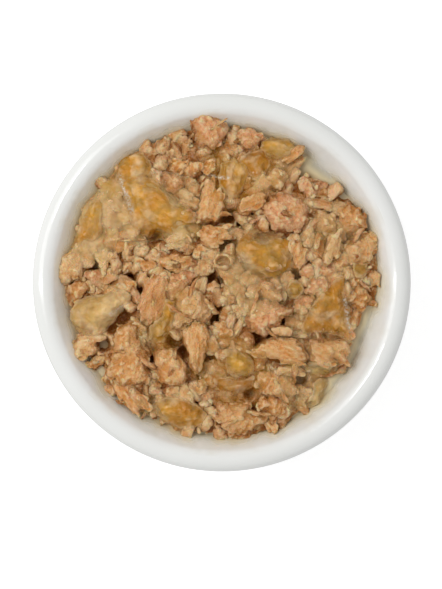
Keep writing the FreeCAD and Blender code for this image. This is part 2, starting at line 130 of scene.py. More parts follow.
class Bench:
    """The modelling steps done by hand on one piece at a time, in millimetres about the origin."""

    @staticmethod
    def deselect() -> None:
        """Leave nothing selected."""
        bpy.ops.object.select_all(action="DESELECT")

    @staticmethod
    def pick(*pieces: bpy.types.Object) -> None:
        """Select only these pieces and make the first one active."""
        Bench.deselect()
        for piece in pieces:
            piece.select_set(True)
        bpy.context.view_layer.objects.active = pieces[0]

    @staticmethod
    def modify(piece: bpy.types.Object, kind: str, **settings: object) -> None:
        """Add one modifier to a piece and apply it.

        Args:
            piece: the mesh to change.
            kind: the modifier's type, such as "REMESH".
            settings: values for the modifier's own settings.
        """
        Bench.pick(piece)
        modifier = piece.modifiers.new(kind.lower(), kind)
        for name, value in settings.items():
            setattr(modifier, name, value)
        bpy.ops.object.modifier_apply(modifier=modifier.name)

    @staticmethod
    def settle(piece: bpy.types.Object, place: Matrix) -> None:
        """Move a piece by a matrix and take the move into its mesh."""
        piece.matrix_world = place
        Bench.pick(piece)
        bpy.ops.object.transform_apply(location=True, rotation=True, scale=True)

    @staticmethod
    def join(pieces: Sequence[bpy.types.Object], name: str) -> bpy.types.Object:
        """Join pieces into one.

        Args:
            pieces: the meshes to join.
            name: the joined piece's name.

        Returns:
            The joined piece.
        """
        Bench.pick(*pieces)
        if len(pieces) > 1:
            bpy.ops.object.join()
        joined = bpy.context.view_layer.objects.active
        joined.name = name
        joined.data.name = name
        return joined

    @staticmethod
    def copy(piece: bpy.types.Object) -> bpy.types.Object:
        """A copy of a piece with a mesh of its own."""
        twin = piece.copy()
        twin.data = piece.data.copy()
        bpy.context.scene.collection.objects.link(twin)
        return twin

    @staticmethod
    def crumb_mould(detail: int) -> bpy.types.Object:
        """A round crumb of unit size that others are copied from, angular at detail 1."""
        Bench.deselect()
        bpy.ops.mesh.primitive_ico_sphere_add(subdivisions=detail, radius=1)
        return bpy.context.view_layer.objects.active

    @staticmethod
    def noise(name: str, kind: str, scale: float, depth: int = 2) -> bpy.types.Texture:
        """A procedural texture that a Displace modifier reads.

        Args:
            name: the texture's name.
            kind: its type, such as "CLOUDS".
            scale: size of its features in millimetres.
            depth: how many finer layers it has.

        Returns:
            The texture, made once and then shared.
        """
        texture = bpy.data.textures.get(name)
        if texture is None:
            texture = bpy.data.textures.new(name, kind)
            texture.noise_scale = scale
            if hasattr(texture, "noise_depth"):
                texture.noise_depth = depth
        return texture

    @staticmethod
    def granules(name: str, scale: float) -> bpy.types.Texture:
        """A procedural texture of rounded grains with creases between them.

        Args:
            name: the texture's name.
            scale: size of a grain in millimetres.

        Returns:
            The texture, made once and then shared.
        """
        texture = bpy.data.textures.get(name)
        if texture is None:
            texture = bpy.data.textures.new(name, "VORONOI")
            texture.noise_scale = scale
            texture.weight_1, texture.weight_2 = -1.0, 1.0
            texture.noise_intensity = 1.6
        return texture

    @staticmethod
    def shreds(name: str, scale: float) -> bpy.types.Texture:
        """A procedural texture of sharp torn crests.

        Args:
            name: the texture's name.
            scale: distance between crests in millimetres.

        Returns:
            The texture, made once and then shared.
        """
        texture = bpy.data.textures.get(name)
        if texture is None:
            texture = bpy.data.textures.new(name, "MUSGRAVE")
            texture.musgrave_type = "RIDGED_MULTIFRACTAL"
            texture.noise_scale = scale
            texture.octaves = 2
            texture.noise_intensity = 0.5
        return texture

    @staticmethod
    def roughen(
        piece: bpy.types.Object, texture: bpy.types.Texture, strength: float, rng: random.Random, grain: float = 1.0
    ) -> None:
        """Push a piece's surface in and out by a texture.

        Args:
            piece: the mesh to roughen.
            texture: the texture that drives the push.
            strength: height from the lowest to the highest point.
            rng: picks which part of the texture is used.
            grain: how many times longer the features are along X.
        """
        piece.location = (rng.uniform(-90, 90), rng.uniform(-90, 90), rng.uniform(-90, 90))
        piece.scale = (1 / grain, 1, 1)
        bpy.context.view_layer.update()
        Bench.modify(piece, "DISPLACE", texture=texture, texture_coords="GLOBAL", strength=strength, mid_level=0.5)
        piece.location = (0, 0, 0)
        piece.scale = (1, 1, 1)


Outline = Sequence[tuple[float, float]]


@dataclass(frozen=True)
class Lobe:
    """One rounded or angular part of a flake: its middle, half sizes and turns."""

    place: tuple[float, float, float]
    half: tuple[float, float, float]
    turn: tuple[float, float, float] = (0.0, 0.0, 0.0)
    angular: bool = False


@dataclass(frozen=True)
class Layer:
    """One flat part of a flake: its torn outline, lowest and highest level, and how far its top draws in."""

    outline: Outline
    low: float
    high: float
    draw_in: float = 0.94


def add_layer(layer: Layer) -> bpy.types.Object:
    """Raise one layer from a flat face with the layer's outline."""
    Bench.deselect()
    bpy.ops.mesh.primitive_circle_add(vertices=len(layer.outline), radius=1, fill_type="NGON")
    piece = bpy.context.view_layer.objects.active
    corners = [(x, y, layer.low) for x, y in layer.outline]
    piece.data.vertices.foreach_set("co", [number for corner in corners for number in corner])
    rise = layer.high - layer.low
    middle = (sum(x for x, _ in layer.outline) / len(corners), sum(y for _, y in layer.outline) / len(corners), 0)
    bpy.ops.object.mode_set(mode="EDIT")
    bpy.ops.mesh.select_all(action="SELECT")
    for share in (0.6, 0.4):
        bpy.ops.mesh.extrude_region_move(TRANSFORM_OT_translate={"value": (0, 0, rise * share)})
        bpy.ops.transform.resize(value=(layer.draw_in, layer.draw_in, 1), center_override=middle)
    bpy.ops.object.mode_set(mode="OBJECT")
    return piece


def weld_parts(
    name: str,
    lobes: Iterable[Lobe],
    layers: Iterable[Layer],
    voxel: float,
    bodies: Sequence[bpy.types.Object] = (),
) -> bpy.types.Object:
    """Add each part as a primitive and weld them into one closed skin.

    Args:
        name: the piece's name.
        lobes: the rounded and angular parts.
        layers: the flat parts.
        voxel: size of the finest detail that the weld keeps.
        bodies: finished meshes that are welded in.

    Returns:
        The welded piece, about the origin.
    """
    parts = [*bodies, *(add_layer(layer) for layer in layers)]
    moulds = [Bench.crumb_mould(detail) for detail in (1, 2)]
    for lobe in lobes:
        part = Bench.copy(moulds[0] if lobe.angular else moulds[1])
        turn = Euler(lobe.turn).to_matrix().to_4x4()
        part.matrix_world = Matrix.Translation(lobe.place) @ turn @ Matrix.Diagonal((*lobe.half, 1.0))
        parts.append(part)
    for mould in moulds:
        bpy.data.objects.remove(mould)
    piece = Bench.join(parts, name)
    Bench.settle(piece, piece.matrix_world.copy())
    Bench.modify(piece, "REMESH", mode="VOXEL", voxel_size=voxel)
    return piece


def torn_outline(rng: random.Random, half: Sequence[float], corners: int) -> Outline:
    """An angular outline with uneven corners.

    Args:
        rng: picks the corners.
        half: half its length and width.
        corners: how many main corners it has.

    Returns:
        Its corners in order.
    """
    start = rng.uniform(0, math.tau)
    outline = []
    for number in range(corners):
        angle = start + (number + rng.uniform(-0.3, 0.3)) * math.tau / corners
        east, north = math.cos(angle), math.sin(angle)
        square = (abs(east) ** 3.5 + abs(north) ** 3.5) ** (-1 / 3.5)
        reach = square * rng.uniform(0.78, 1.0)
        outline.append((east * reach * half[0], north * reach * half[1]))
    return outline


def tear(rng: random.Random, outline: Outline, depth: float, step: float = 0.9) -> Outline:
    """Tear the straight edges of an outline into small teeth.

    Args:
        rng: picks the teeth.
        outline: the corners in order.
        depth: how far a tooth stands out or in, in millimetres.
        step: distance between teeth, in millimetres.

    Returns:
        The outline with its teeth.
    """
    torn = []
    for (x, y), (next_x, next_y) in zip(outline, [*outline[1:], outline[0]]):
        run = math.hypot(next_x - x, next_y - y)
        across = ((next_y - y) / max(run, 1e-6), (x - next_x) / max(run, 1e-6))
        torn.append((x, y))
        teeth = int(run / step)
        for number in range(1, teeth):
            share = (number + rng.uniform(-0.2, 0.2)) / teeth
            out = rng.uniform(-depth, depth)
            torn.append((x + (next_x - x) * share + across[0] * out, y + (next_y - y) * share + across[1] * out))
    return torn


def resized(outline: Outline, share: float, shift: Sequence[float] = (0.0, 0.0)) -> Outline:
    """An outline drawn in or spread out about its middle, and shifted."""
    east = sum(x for x, _ in outline) / len(outline)
    north = sum(y for _, y in outline) / len(outline)
    return [(east + (x - east) * share + shift[0], north + (y - north) * share + shift[1]) for x, y in outline]


def about(outline: Outline, middle: Vector) -> Outline:
    """An outline from the dish's middle, moved so that a place given in metres becomes its origin."""
    return [(x - middle.x / MM, y - middle.y / MM) for x, y in outline]


def inside(outline: Outline, x: float, y: float) -> bool:
    """Whether a place lies inside an outline."""
    crossed = False
    for (x0, y0), (x1, y1) in zip(outline, [*outline[1:], outline[0]]):
        if (y0 > y) != (y1 > y) and x < (x1 - x0) * (y - y0) / (y1 - y0) + x0:
            crossed = not crossed
    return crossed


def edge_distance(outline: Outline, points: np.ndarray) -> np.ndarray:
    """Distance in plan from each point to an outline's nearest edge."""
    best = np.full(len(points), 1e9)
    for (x0, y0), (x1, y1) in zip(outline, [*outline[1:], outline[0]]):
        along = np.array([x1 - x0, y1 - y0])
        share = ((points[:, :2] - (x0, y0)) @ along / max(float(along @ along), 1e-9)).clip(0, 1)
        near = np.array([x0, y0]) + share[:, None] * along
        best = np.minimum(best, np.hypot(*(points[:, :2] - near).T))
    return best


def mesh_points(piece: bpy.types.Object) -> np.ndarray:
    """A piece's points, one row each."""
    points = np.zeros(len(piece.data.vertices) * 3)
    piece.data.vertices.foreach_get("co", points)
    return points.reshape(-1, 3)


def paint(piece: bpy.types.Object, name: str, values: np.ndarray) -> None:
    """Write one number for each point of a piece, which its material reads by name."""
    attribute = piece.data.attributes.get(name) or piece.data.attributes.new(name, "FLOAT", "POINT")
    attribute.data.foreach_set("value", np.asarray(values, dtype=np.float32))


def standing(piece: bpy.types.Object, reach: int) -> np.ndarray:
    """How far each point stands out from the skin round it, in the mesh's own unit.

    Args:
        piece: the mesh to read.
        reach: how many rings of neighbours the skin is smoothed over.

    Returns:
        One number for each point.
    """
    points = mesh_points(piece)
    edges = np.zeros(len(piece.data.edges) * 2, dtype=np.int64)
    piece.data.edges.foreach_get("vertices", edges)
    first, second = edges.reshape(-1, 2).T
    count = len(points)
    degree = np.maximum(np.bincount(edges, minlength=count), 1)
    smooth = points.copy()
    for _ in range(reach):
        for axis in range(3):
            along = smooth[:, axis]
            total = np.bincount(first, along[second], count) + np.bincount(second, along[first], count)
            smooth[:, axis] = 0.5 * along + 0.5 * total / degree
    normals = np.zeros(count * 3)
    piece.data.vertices.foreach_get("normal", normals)
    return ((points - smooth) * normals.reshape(-1, 3)).sum(axis=1)


def paint_ridges(piece: bpy.types.Object, reach: int, gain: float) -> None:
    """Paint how far each point stands out from the skin round it, as "ridge" from -1 to 1.

    Args:
        piece: the mesh to paint.
        reach: how many rings of neighbours the skin is smoothed over.
        gain: how strongly a millimetre of standing out counts.
    """
    paint(piece, "ridge", np.clip(standing(piece, reach) * gain, -1, 1))


# ------------------------------------------------------------------ material graphs


class Graph:
    """A short way to lay out a material's nodes."""

    def __init__(self, name: str) -> None:
        """Start an empty material."""
        self.material = bpy.data.materials.new(name)
        self.material.use_nodes = True
        self.tree = self.material.node_tree
        self.tree.nodes.clear()

    def node(self, kind: str, **settings: object) -> bpy.types.Node:
        """Add a node and set its own properties."""
        node = self.tree.nodes.new(kind)
        for name, value in settings.items():
            setattr(node, name, value)
        return node

    def feed(self, node: bpy.types.Node, socket: object, source: object) -> None:
        """Give an input a plain value or another node's output."""
        target = node.inputs[socket]
        if isinstance(source, bpy.types.NodeSocket):
            self.tree.links.new(source, target)
        else:
            target.default_value = source

    def attribute(self, name: str) -> bpy.types.NodeSocket:
        """A number painted on the mesh."""
        return self.node("ShaderNodeAttribute", attribute_name=name).outputs["Fac"]

    def noise(self, scale: float, detail: float = 3.0, stretch: Optional[Sequence[float]] = None) -> bpy.types.NodeSocket:
        """A noise pattern on the piece's own coordinates.

        Args:
            scale: features in each metre.
            detail: how many finer layers it has.
            stretch: scale along each axis, for a pattern that isn't even.

        Returns:
            The pattern's value.
        """
        place = self.node("ShaderNodeTexCoord").outputs["Object"]
        if stretch:
            mapping = self.node("ShaderNodeMapping")
            self.feed(mapping, "Vector", place)
            self.feed(mapping, "Scale", tuple(stretch))
            place = mapping.outputs["Vector"]
        noise = self.node("ShaderNodeTexNoise")
        self.feed(noise, "Vector", place)
        self.feed(noise, "Scale", scale)
        self.feed(noise, "Detail", detail)
        return noise.outputs["Fac"]

    def spread(
        self, value: bpy.types.NodeSocket, low: float, high: float, start: float = 0.0, end: float = 1.0
    ) -> bpy.types.NodeSocket:
        """Map a value's range from low..high to start..end, and hold it there."""
        remap = self.node("ShaderNodeMapRange")
        self.feed(remap, 0, value)
        for socket, number in zip((1, 2, 3, 4), (low, high, start, end)):
            self.feed(remap, socket, number)
        return remap.outputs[0]

    def maths(self, operation: str, first: object, second: object) -> bpy.types.NodeSocket:
        """One sum on two values."""
        node = self.node("ShaderNodeMath", operation=operation)
        self.feed(node, 0, first)
        self.feed(node, 1, second)
        return node.outputs[0]

    def blend(self, share: object, first: object, second: object, kind: str = "MIX") -> bpy.types.NodeSocket:
        """Mix two colours by a share."""
        mix = self.node("ShaderNodeMix", data_type="RGBA", blend_type=kind)
        self.feed(mix, 0, share)
        self.feed(mix, 6, first)
        self.feed(mix, 7, second)
        return mix.outputs[2]

    def ramp(self, value: bpy.types.NodeSocket, stops: Sequence[tuple[float, tuple]]) -> bpy.types.NodeSocket:
        """A colour ramp with the given stops."""
        node = self.node("ShaderNodeValToRGB")
        elements = node.color_ramp.elements
        while len(elements) < len(stops):
            elements.new(0.5)
        for element, (place, colour) in zip(elements, stops):
            element.position = place
            element.color = colour
        self.feed(node, "Fac", value)
        return node.outputs["Color"]

    def bump(self, height: bpy.types.NodeSocket, distance: float, strength: float = 1.0) -> bpy.types.NodeSocket:
        """A bump of a real height."""
        node = self.node("ShaderNodeBump")
        self.feed(node, "Height", height)
        self.feed(node, "Distance", distance)
        self.feed(node, "Strength", strength)
        return node.outputs["Normal"]

    def finish(self, shader: bpy.types.NodeSocket) -> bpy.types.Material:
        """Send a shader to the material's output."""
        output = self.node("ShaderNodeOutputMaterial")
        self.tree.links.new(shader, output.inputs["Surface"])
        return self.material


def colour(red: float, green: float, blue: float) -> tuple[float, float, float, float]:
    """An opaque linear colour."""
    return (red, green, blue, 1.0)


@dataclass(frozen=True)
class PorcelainFinish:
    """White glaze, faintly warm, with a soft unevenness in its gloss."""

    body: tuple = colour(0.88, 0.885, 0.86)
    shade: tuple = colour(0.85, 0.855, 0.825)
    roughness: float = 0.09

    def make(self) -> bpy.types.Material:
        """Build the material."""
        graph = Graph("porcelain_glaze")
        cloud = graph.noise(30, 2)
        shader = graph.node("ShaderNodeBsdfPrincipled")
        graph.feed(shader, "Base Color", graph.blend(graph.spread(cloud, 0.35, 0.7), self.body, self.shade))
        graph.feed(shader, "Roughness", graph.spread(cloud, 0.3, 0.7, self.roughness, self.roughness + 0.06))
        graph.feed(shader, "IOR", 1.5)
        graph.feed(shader, "Coat Weight", 0.3)
        graph.feed(shader, "Coat Roughness", 0.04)
        graph.feed(shader, "Normal", graph.bump(graph.noise(90, 1), 0.00003))
        return graph.finish(shader.outputs[0])


@dataclass(frozen=True)
class MeatFinish:
    """Cooked meat: mottled cream, tan, orange and pink, with a painted highlight on its crests and painted shade, dark
    brown, in its creases and where it lies deep.
    """

    cream: tuple = colour(0.96, 0.585, 0.26)
    tan: tuple = colour(0.89, 0.425, 0.135)
    orange: tuple = colour(0.78, 0.325, 0.07)
    pink: tuple = colour(0.91, 0.445, 0.205)
    # pale: the painted highlight on crests, and also random pale flecks
    pale: tuple = colour(1.0, 0.74, 0.42)
    # deep: the painted shade in creases and on low parts
    deep: tuple = colour(0.31, 0.09, 0.005)
    roughness: float = 0.45
    name: str = "meat"

    def make(self) -> bpy.types.Material:
        """Build the material."""
        graph = Graph(self.name)
        patch = graph.noise(240, 3)
        mottle = graph.noise(620, 3)
        speck = graph.noise(1500, 4)
        ridge = graph.attribute("ridge")
        wander = graph.maths("ADD", graph.spread(patch, 0.3, 0.7, -0.26, 0.26), graph.spread(mottle, 0.3, 0.7, -0.1, 0.1))
        tone = graph.maths("ADD", graph.attribute("tone"), wander)
        flesh = graph.ramp(tone, ((0.0, self.cream), (0.35, self.tan), (0.62, self.orange), (0.95, self.pink)))
        # Painted highlight: where the ridge stands out, the flesh is blended towards pale.
        standing = graph.maths("MULTIPLY", graph.spread(ridge, -0.05, 0.42), graph.spread(patch, 0.3, 0.7, 0.45, 1.0))
        lit = graph.blend(standing, flesh, self.pale)
        # Painted shade: low parts, and creases where the ridge sinks, are blended towards deep brown.
        painted_low_shade = graph.spread(graph.attribute("height"), 0.90, 0.45, 0.0, 0.88)
        painted_shade = graph.maths("MAXIMUM", graph.maths("MULTIPLY", graph.spread(ridge, -0.08, -0.9), 0.88), painted_low_shade)
        shaded = graph.blend(painted_shade, lit, self.deep)
        flecked = graph.blend(graph.spread(speck, 0.52, 0.72, 0.0, 0.22), shaded, self.pale)
        dark_fleck = graph.blend(graph.spread(speck, 0.45, 0.25, 0.0, 0.22), flecked, self.orange)
        shader = graph.node("ShaderNodeBsdfPrincipled", subsurface_method="RANDOM_WALK")
        graph.feed(shader, "Base Color", dark_fleck)
        graph.feed(shader, "Subsurface Weight", 0.45)
        graph.feed(shader, "Subsurface Radius", (1.0, 0.4, 0.15))
        graph.feed(shader, "Subsurface Scale", 0.0014)
        graph.feed(shader, "Roughness", graph.spread(patch, 0.35, 0.65, self.roughness - 0.2, self.roughness + 0.15))
        graph.feed(shader, "IOR", 1.36)
        graph.feed(shader, "Specular IOR Level", 0.32)
        graph.feed(shader, "Coat Weight", 0.26)
        graph.feed(shader, "Coat Roughness", 0.1)
        graph.feed(shader, "Coat IOR", 1.34)
        fibres = graph.maths("ADD", graph.noise(2600, 3), graph.spread(speck, 0.2, 0.8))
        graph.feed(shader, "Normal", graph.bump(fibres, 0.0006))
        return graph.finish(shader.outputs[0])


@dataclass(frozen=True)
class JellyFinish:
    """Amber jelly: clear enough to glow, with a pale film along its thin edges, a painted highlight on its crests,
    painted shade in its creases and painted glints along its crinkles.
    """

    pale: tuple = colour(0.92, 0.64, 0.28)
    olive: tuple = colour(0.66, 0.36, 0.05)
    amber: tuple = colour(0.70, 0.33, 0.028)
    # deep: the deepest amber tone, and also the painted shade in creases
    deep: tuple = colour(0.56, 0.21, 0.006)
    # film: the pale film on thin edges and in streaks, and also the painted highlight on crests
    film: tuple = colour(0.94, 0.68, 0.38)
    glint: tuple = colour(0.92, 0.86, 0.72)
    clearest: float = 0.5
    fullest: float = 1.1
    name: str = "jelly"

    def make(self) -> bpy.types.Material:
        """Build the material."""
        graph = Graph(self.name)
        patch = graph.noise(110, 2)
        fine = graph.noise(900, 3)
        cloud = graph.noise(240, 3)
        wander = graph.maths("ADD", graph.spread(patch, 0.3, 0.7, -0.2, 0.2), graph.spread(cloud, 0.3, 0.7, -0.14, 0.14))
        tone = graph.maths("ADD", graph.attribute("tone"), wander)
        gel = graph.ramp(tone, ((0.0, self.pale), (0.4, self.olive), (0.7, self.amber), (1.0, self.deep)))
        edge = graph.maths("MULTIPLY", graph.attribute("rim"), graph.spread(fine, 0.25, 0.7, 0.5, 1.0))
        smear = graph.spread(graph.noise(200, 5), 0.5, 0.7, 0.0, 0.75)
        filmed = graph.blend(graph.maths("MAXIMUM", edge, smear), gel, self.film)
        # Painted highlight on crests and painted shade in creases, both from the ridge.
        crest = graph.blend(graph.spread(graph.attribute("ridge"), 0.15, 0.9, 0.0, 0.6), filmed, self.film)
        painted_shade = graph.blend(graph.spread(graph.attribute("ridge"), -0.2, -0.95, 0.0, 0.35), crest, self.deep)
        # Painted glint: near-white along the crinkle lines, where the jelly is also made less clear.
        painted_glint_share = graph.maths("MULTIPLY", graph.attribute("crinkle"), graph.spread(graph.noise(1300, 3), 0.4, 0.6))
        glint = graph.blend(painted_glint_share, painted_shade, self.glint)
        shader = graph.node("ShaderNodeBsdfPrincipled", subsurface_method="RANDOM_WALK")
        graph.feed(shader, "Base Color", glint)
        graph.feed(shader, "Subsurface Weight", 0.25)
        graph.feed(shader, "Subsurface Radius", (1.0, 0.55, 0.2))
        graph.feed(shader, "Subsurface Scale", 0.002)
        body = graph.maths("MULTIPLY", graph.maths("MAXIMUM", graph.attribute("cover"), painted_glint_share), graph.spread(cloud, 0.35, 0.65, self.clearest, self.fullest))
        graph.feed(shader, "Alpha", graph.maths("MINIMUM", graph.maths("ADD", body, graph.maths("MULTIPLY", edge, 0.6)), 1.0))
        graph.feed(shader, "Roughness", 0.2)
        graph.feed(shader, "IOR", 1.34)
        graph.feed(shader, "Specular IOR Level", 0.4)
        graph.feed(shader, "Coat Weight", 0.35)
        graph.feed(shader, "Coat Roughness", 0.05)
        graph.feed(shader, "Coat IOR", 1.4)
        graph.feed(shader, "Normal", graph.bump(graph.maths("ADD", fine, cloud), 0.0006))
        return graph.finish(shader.outputs[0])


@dataclass(frozen=True)
class BrothFinish:
    """Thin pale broth that darkens to amber with the depth under it, and with a painted shadow and painted reflection
    beside the food.
    """

    shallow: tuple = colour(0.90, 0.83, 0.66)
    middle: tuple = colour(0.83, 0.72, 0.46)
    # deep: the amber of deep broth, and also the painted shadow beside the food
    deep: tuple = colour(0.50, 0.31, 0.09)

    def make(self) -> bpy.types.Material:
        """Build the material."""
        graph = Graph("broth")
        depth = graph.maths("ADD", graph.attribute("depth"), graph.spread(graph.noise(120, 2), 0.3, 0.7, -0.06, 0.06))
        tint = graph.ramp(depth, ((0.0, self.shallow), (0.4, self.middle), (1.0, self.deep)))
        shader = graph.node("ShaderNodeBsdfPrincipled")
        graph.feed(shader, "Base Color", tint)
        graph.feed(shader, "Alpha", graph.spread(depth, 0.01, 0.5, 0.0, 0.93))
        graph.feed(shader, "Roughness", 0.05)
        graph.feed(shader, "IOR", 1.34)
        graph.feed(shader, "Normal", graph.bump(graph.noise(160, 1), 0.00005))
        return graph.finish(shader.outputs[0])


# ------------------------------------------------------------------ places read from the frame


class Pile:
    """The CAD heap and chunks as surfaces that pieces are laid on."""

    def __init__(self) -> None:
        """Read the surfaces and the dish's main sizes."""
        self.heap = self.surface(["meat_heap"])
        chunks = [name for name in frame["nodes"] if name.startswith(("flake_", "jelly_"))]
        self.chunks = self.surface(chunks)
        self.gel = self.surface([name for name in chunks if name.startswith("jelly_")])
        self.dish = self.surface(["dish"])
        low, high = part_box("broth")
        self.level = high.z
        self.reach = (high.x - low.x) / 2
        self.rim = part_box("dish")[1].z
        self.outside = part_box("dish")[1].x
        self.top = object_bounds()[1].z

    @staticmethod
    def surface(names: Sequence[str]) -> BVHTree:
        """One searchable surface from some CAD nodes."""
        points: list = []
        faces: list = []
        for name in names:
            mesh = frame["nodes"][name].data
            start = len(points)
            points.extend(vertex.co.copy() for vertex in mesh.vertices)
            faces.extend(tuple(start + index for index in polygon.vertices) for polygon in mesh.polygons)
        return BVHTree.FromPolygons(points, faces)

    def ground(self, x: float, y: float) -> float:
        """Height of the heap or of a chunk on it, whichever is higher, at a place."""
        heights = [self.drop(surface, x, y)[0] for surface in (self.heap, self.chunks)]
        return max([height for height in heights if height is not None], default=self.level)

    def in_gap(self, x: float, y: float) -> bool:
        """Whether a place lies in one of the deep gaps."""
        return any(
            math.hypot(x - east * MM, y - north * MM) < radius * MM for east, north, radius in HOLES
        )

    def drop(self, surface: BVHTree, x: float, y: float) -> tuple[Optional[float], Vector]:
        """Look straight down on a surface.

        Args:
            surface: the surface to look at.
            x: place along X, in metres.
            y: place along Y, in metres.

        Returns:
            The height hit, or None, and the surface's upward direction there.
        """
        hit, normal, _, _ = surface.ray_cast(Vector((x, y, 0.2)), Vector((0, 0, -1)))
        if hit is None:
            return None, Vector((0, 0, 1))
        return hit.z, normal if normal.z > 0 else -normal

    def lean(self, x: float, y: float, span: float = 0.004) -> Vector:
        """The heap's upward direction round a place, smoothed over a span."""
        total = Vector((0, 0, 0.4))
        for step in range(6):
            angle = step * math.pi / 3
            _, normal = self.drop(self.heap, x + span * math.cos(angle), y + span * math.sin(angle))
            total += normal
        return total.normalized()


@dataclass
class Relief:
    """Heights of some pieces seen from above on an even grid, for pieces that are draped over them."""

    surfaces: Sequence[tuple[BVHTree, float]]
    reach: float
    floor: float
    step: float = 0.0005
    heights: np.ndarray = field(init=False)

    def __post_init__(self) -> None:
        """Look down on every grid place, and keep the highest of the surfaces there."""
        places = np.arange(-self.reach, self.reach + self.step, self.step)
        self.heights = np.full((len(places), len(places)), self.floor)
        down = Vector((0, 0, -1))
        for row, y in enumerate(places):
            for column, x in enumerate(places):
                for surface, lift in self.surfaces:
                    hit = surface.ray_cast(Vector((x, y, 0.2)), down)[0]
                    if hit is not None and hit.z + lift > self.heights[row, column]:
                        self.heights[row, column] = hit.z + lift

    def soften(self, passes: int) -> None:
        """Average each height with its neighbours, again and again."""
        for _ in range(passes):
            grid = self.heights
            self.heights = (
                grid + np.roll(grid, 1, 0) + np.roll(grid, -1, 0) + np.roll(grid, 1, 1) + np.roll(grid, -1, 1)
            ) / 5

    def at(self, points: np.ndarray) -> np.ndarray:
        """Heights under some points, in metres, read between the grid's places."""
        column = ((points[:, 0] + self.reach) / self.step).clip(0, len(self.heights) - 1.001)
        row = ((points[:, 1] + self.reach) / self.step).clip(0, len(self.heights) - 1.001)
        left, low = column.astype(int), row.astype(int)
        east, north = column - left, row - low
        grid = self.heights
        lower = grid[low, left] * (1 - east) + grid[low, left + 1] * east
        upper = grid[low + 1, left] * (1 - east) + grid[low + 1, left + 1] * east
        return lower * (1 - north) + upper * north


def surface_of(pieces: Iterable[bpy.types.Object]) -> BVHTree:
    """One searchable surface from some finished pieces."""
    points: list = []
    faces: list = []
    for piece in pieces:
        start = len(points)
        points.extend(vertex.co.copy() for vertex in piece.data.vertices)
        faces.extend(tuple(start + index for index in polygon.vertices) for polygon in piece.data.polygons)
    return BVHTree.FromPolygons(points, faces)


def laid(place: Vector, lean: Vector, yaw: float, size: Sequence[float]) -> Matrix:
    """A matrix that sizes a piece, turns it by a yaw in degrees, leans it and puts it in place."""
    tilt = Vector((0, 0, 1)).rotation_difference(lean).to_matrix().to_4x4()
    turn = Matrix.Rotation(math.radians(yaw), 4, "Z")
    return Matrix.Translation(place) @ tilt @ turn @ Matrix.Diagonal((*size, 1.0))


# ------------------------------------------------------------------ meat


@dataclass(frozen=True)
class CutWork:
    """How one kind of cut is worked: teeth, crumbs and how long they are, smoothing, relief and grain."""

    tear: float
    crumb: float
    long: float
    smoothing: int
    lumps: float
    crests: float
    grit: float
    grain: float
    domed: float


CUT_WORK = {
    Cut.CRUMBLY: CutWork(0.40, 1.25, 1.25, 0, 1.40, 0.12, 0.75, 1.0, 0.60),
    Cut.SLAB: CutWork(0.40, 0.95, 2.60, 0, 1.00, 0.20, 0.60, 2.0, 0.35),
    Cut.FIBROUS: CutWork(0.40, 0.65, 3.60, 0, 0.90, 0.30, 0.60, 3.0, 0.45),
    Cut.SMOOTH: CutWork(0.35, 1.45, 1.50, 0, 1.40, 0.15, 0.65, 1.8, 0.55),
    Cut.CUP: CutWork(0.20, 0.80, 1.50, 1, 0.50, 0.20, 0.35, 1.5, 0.0),
}


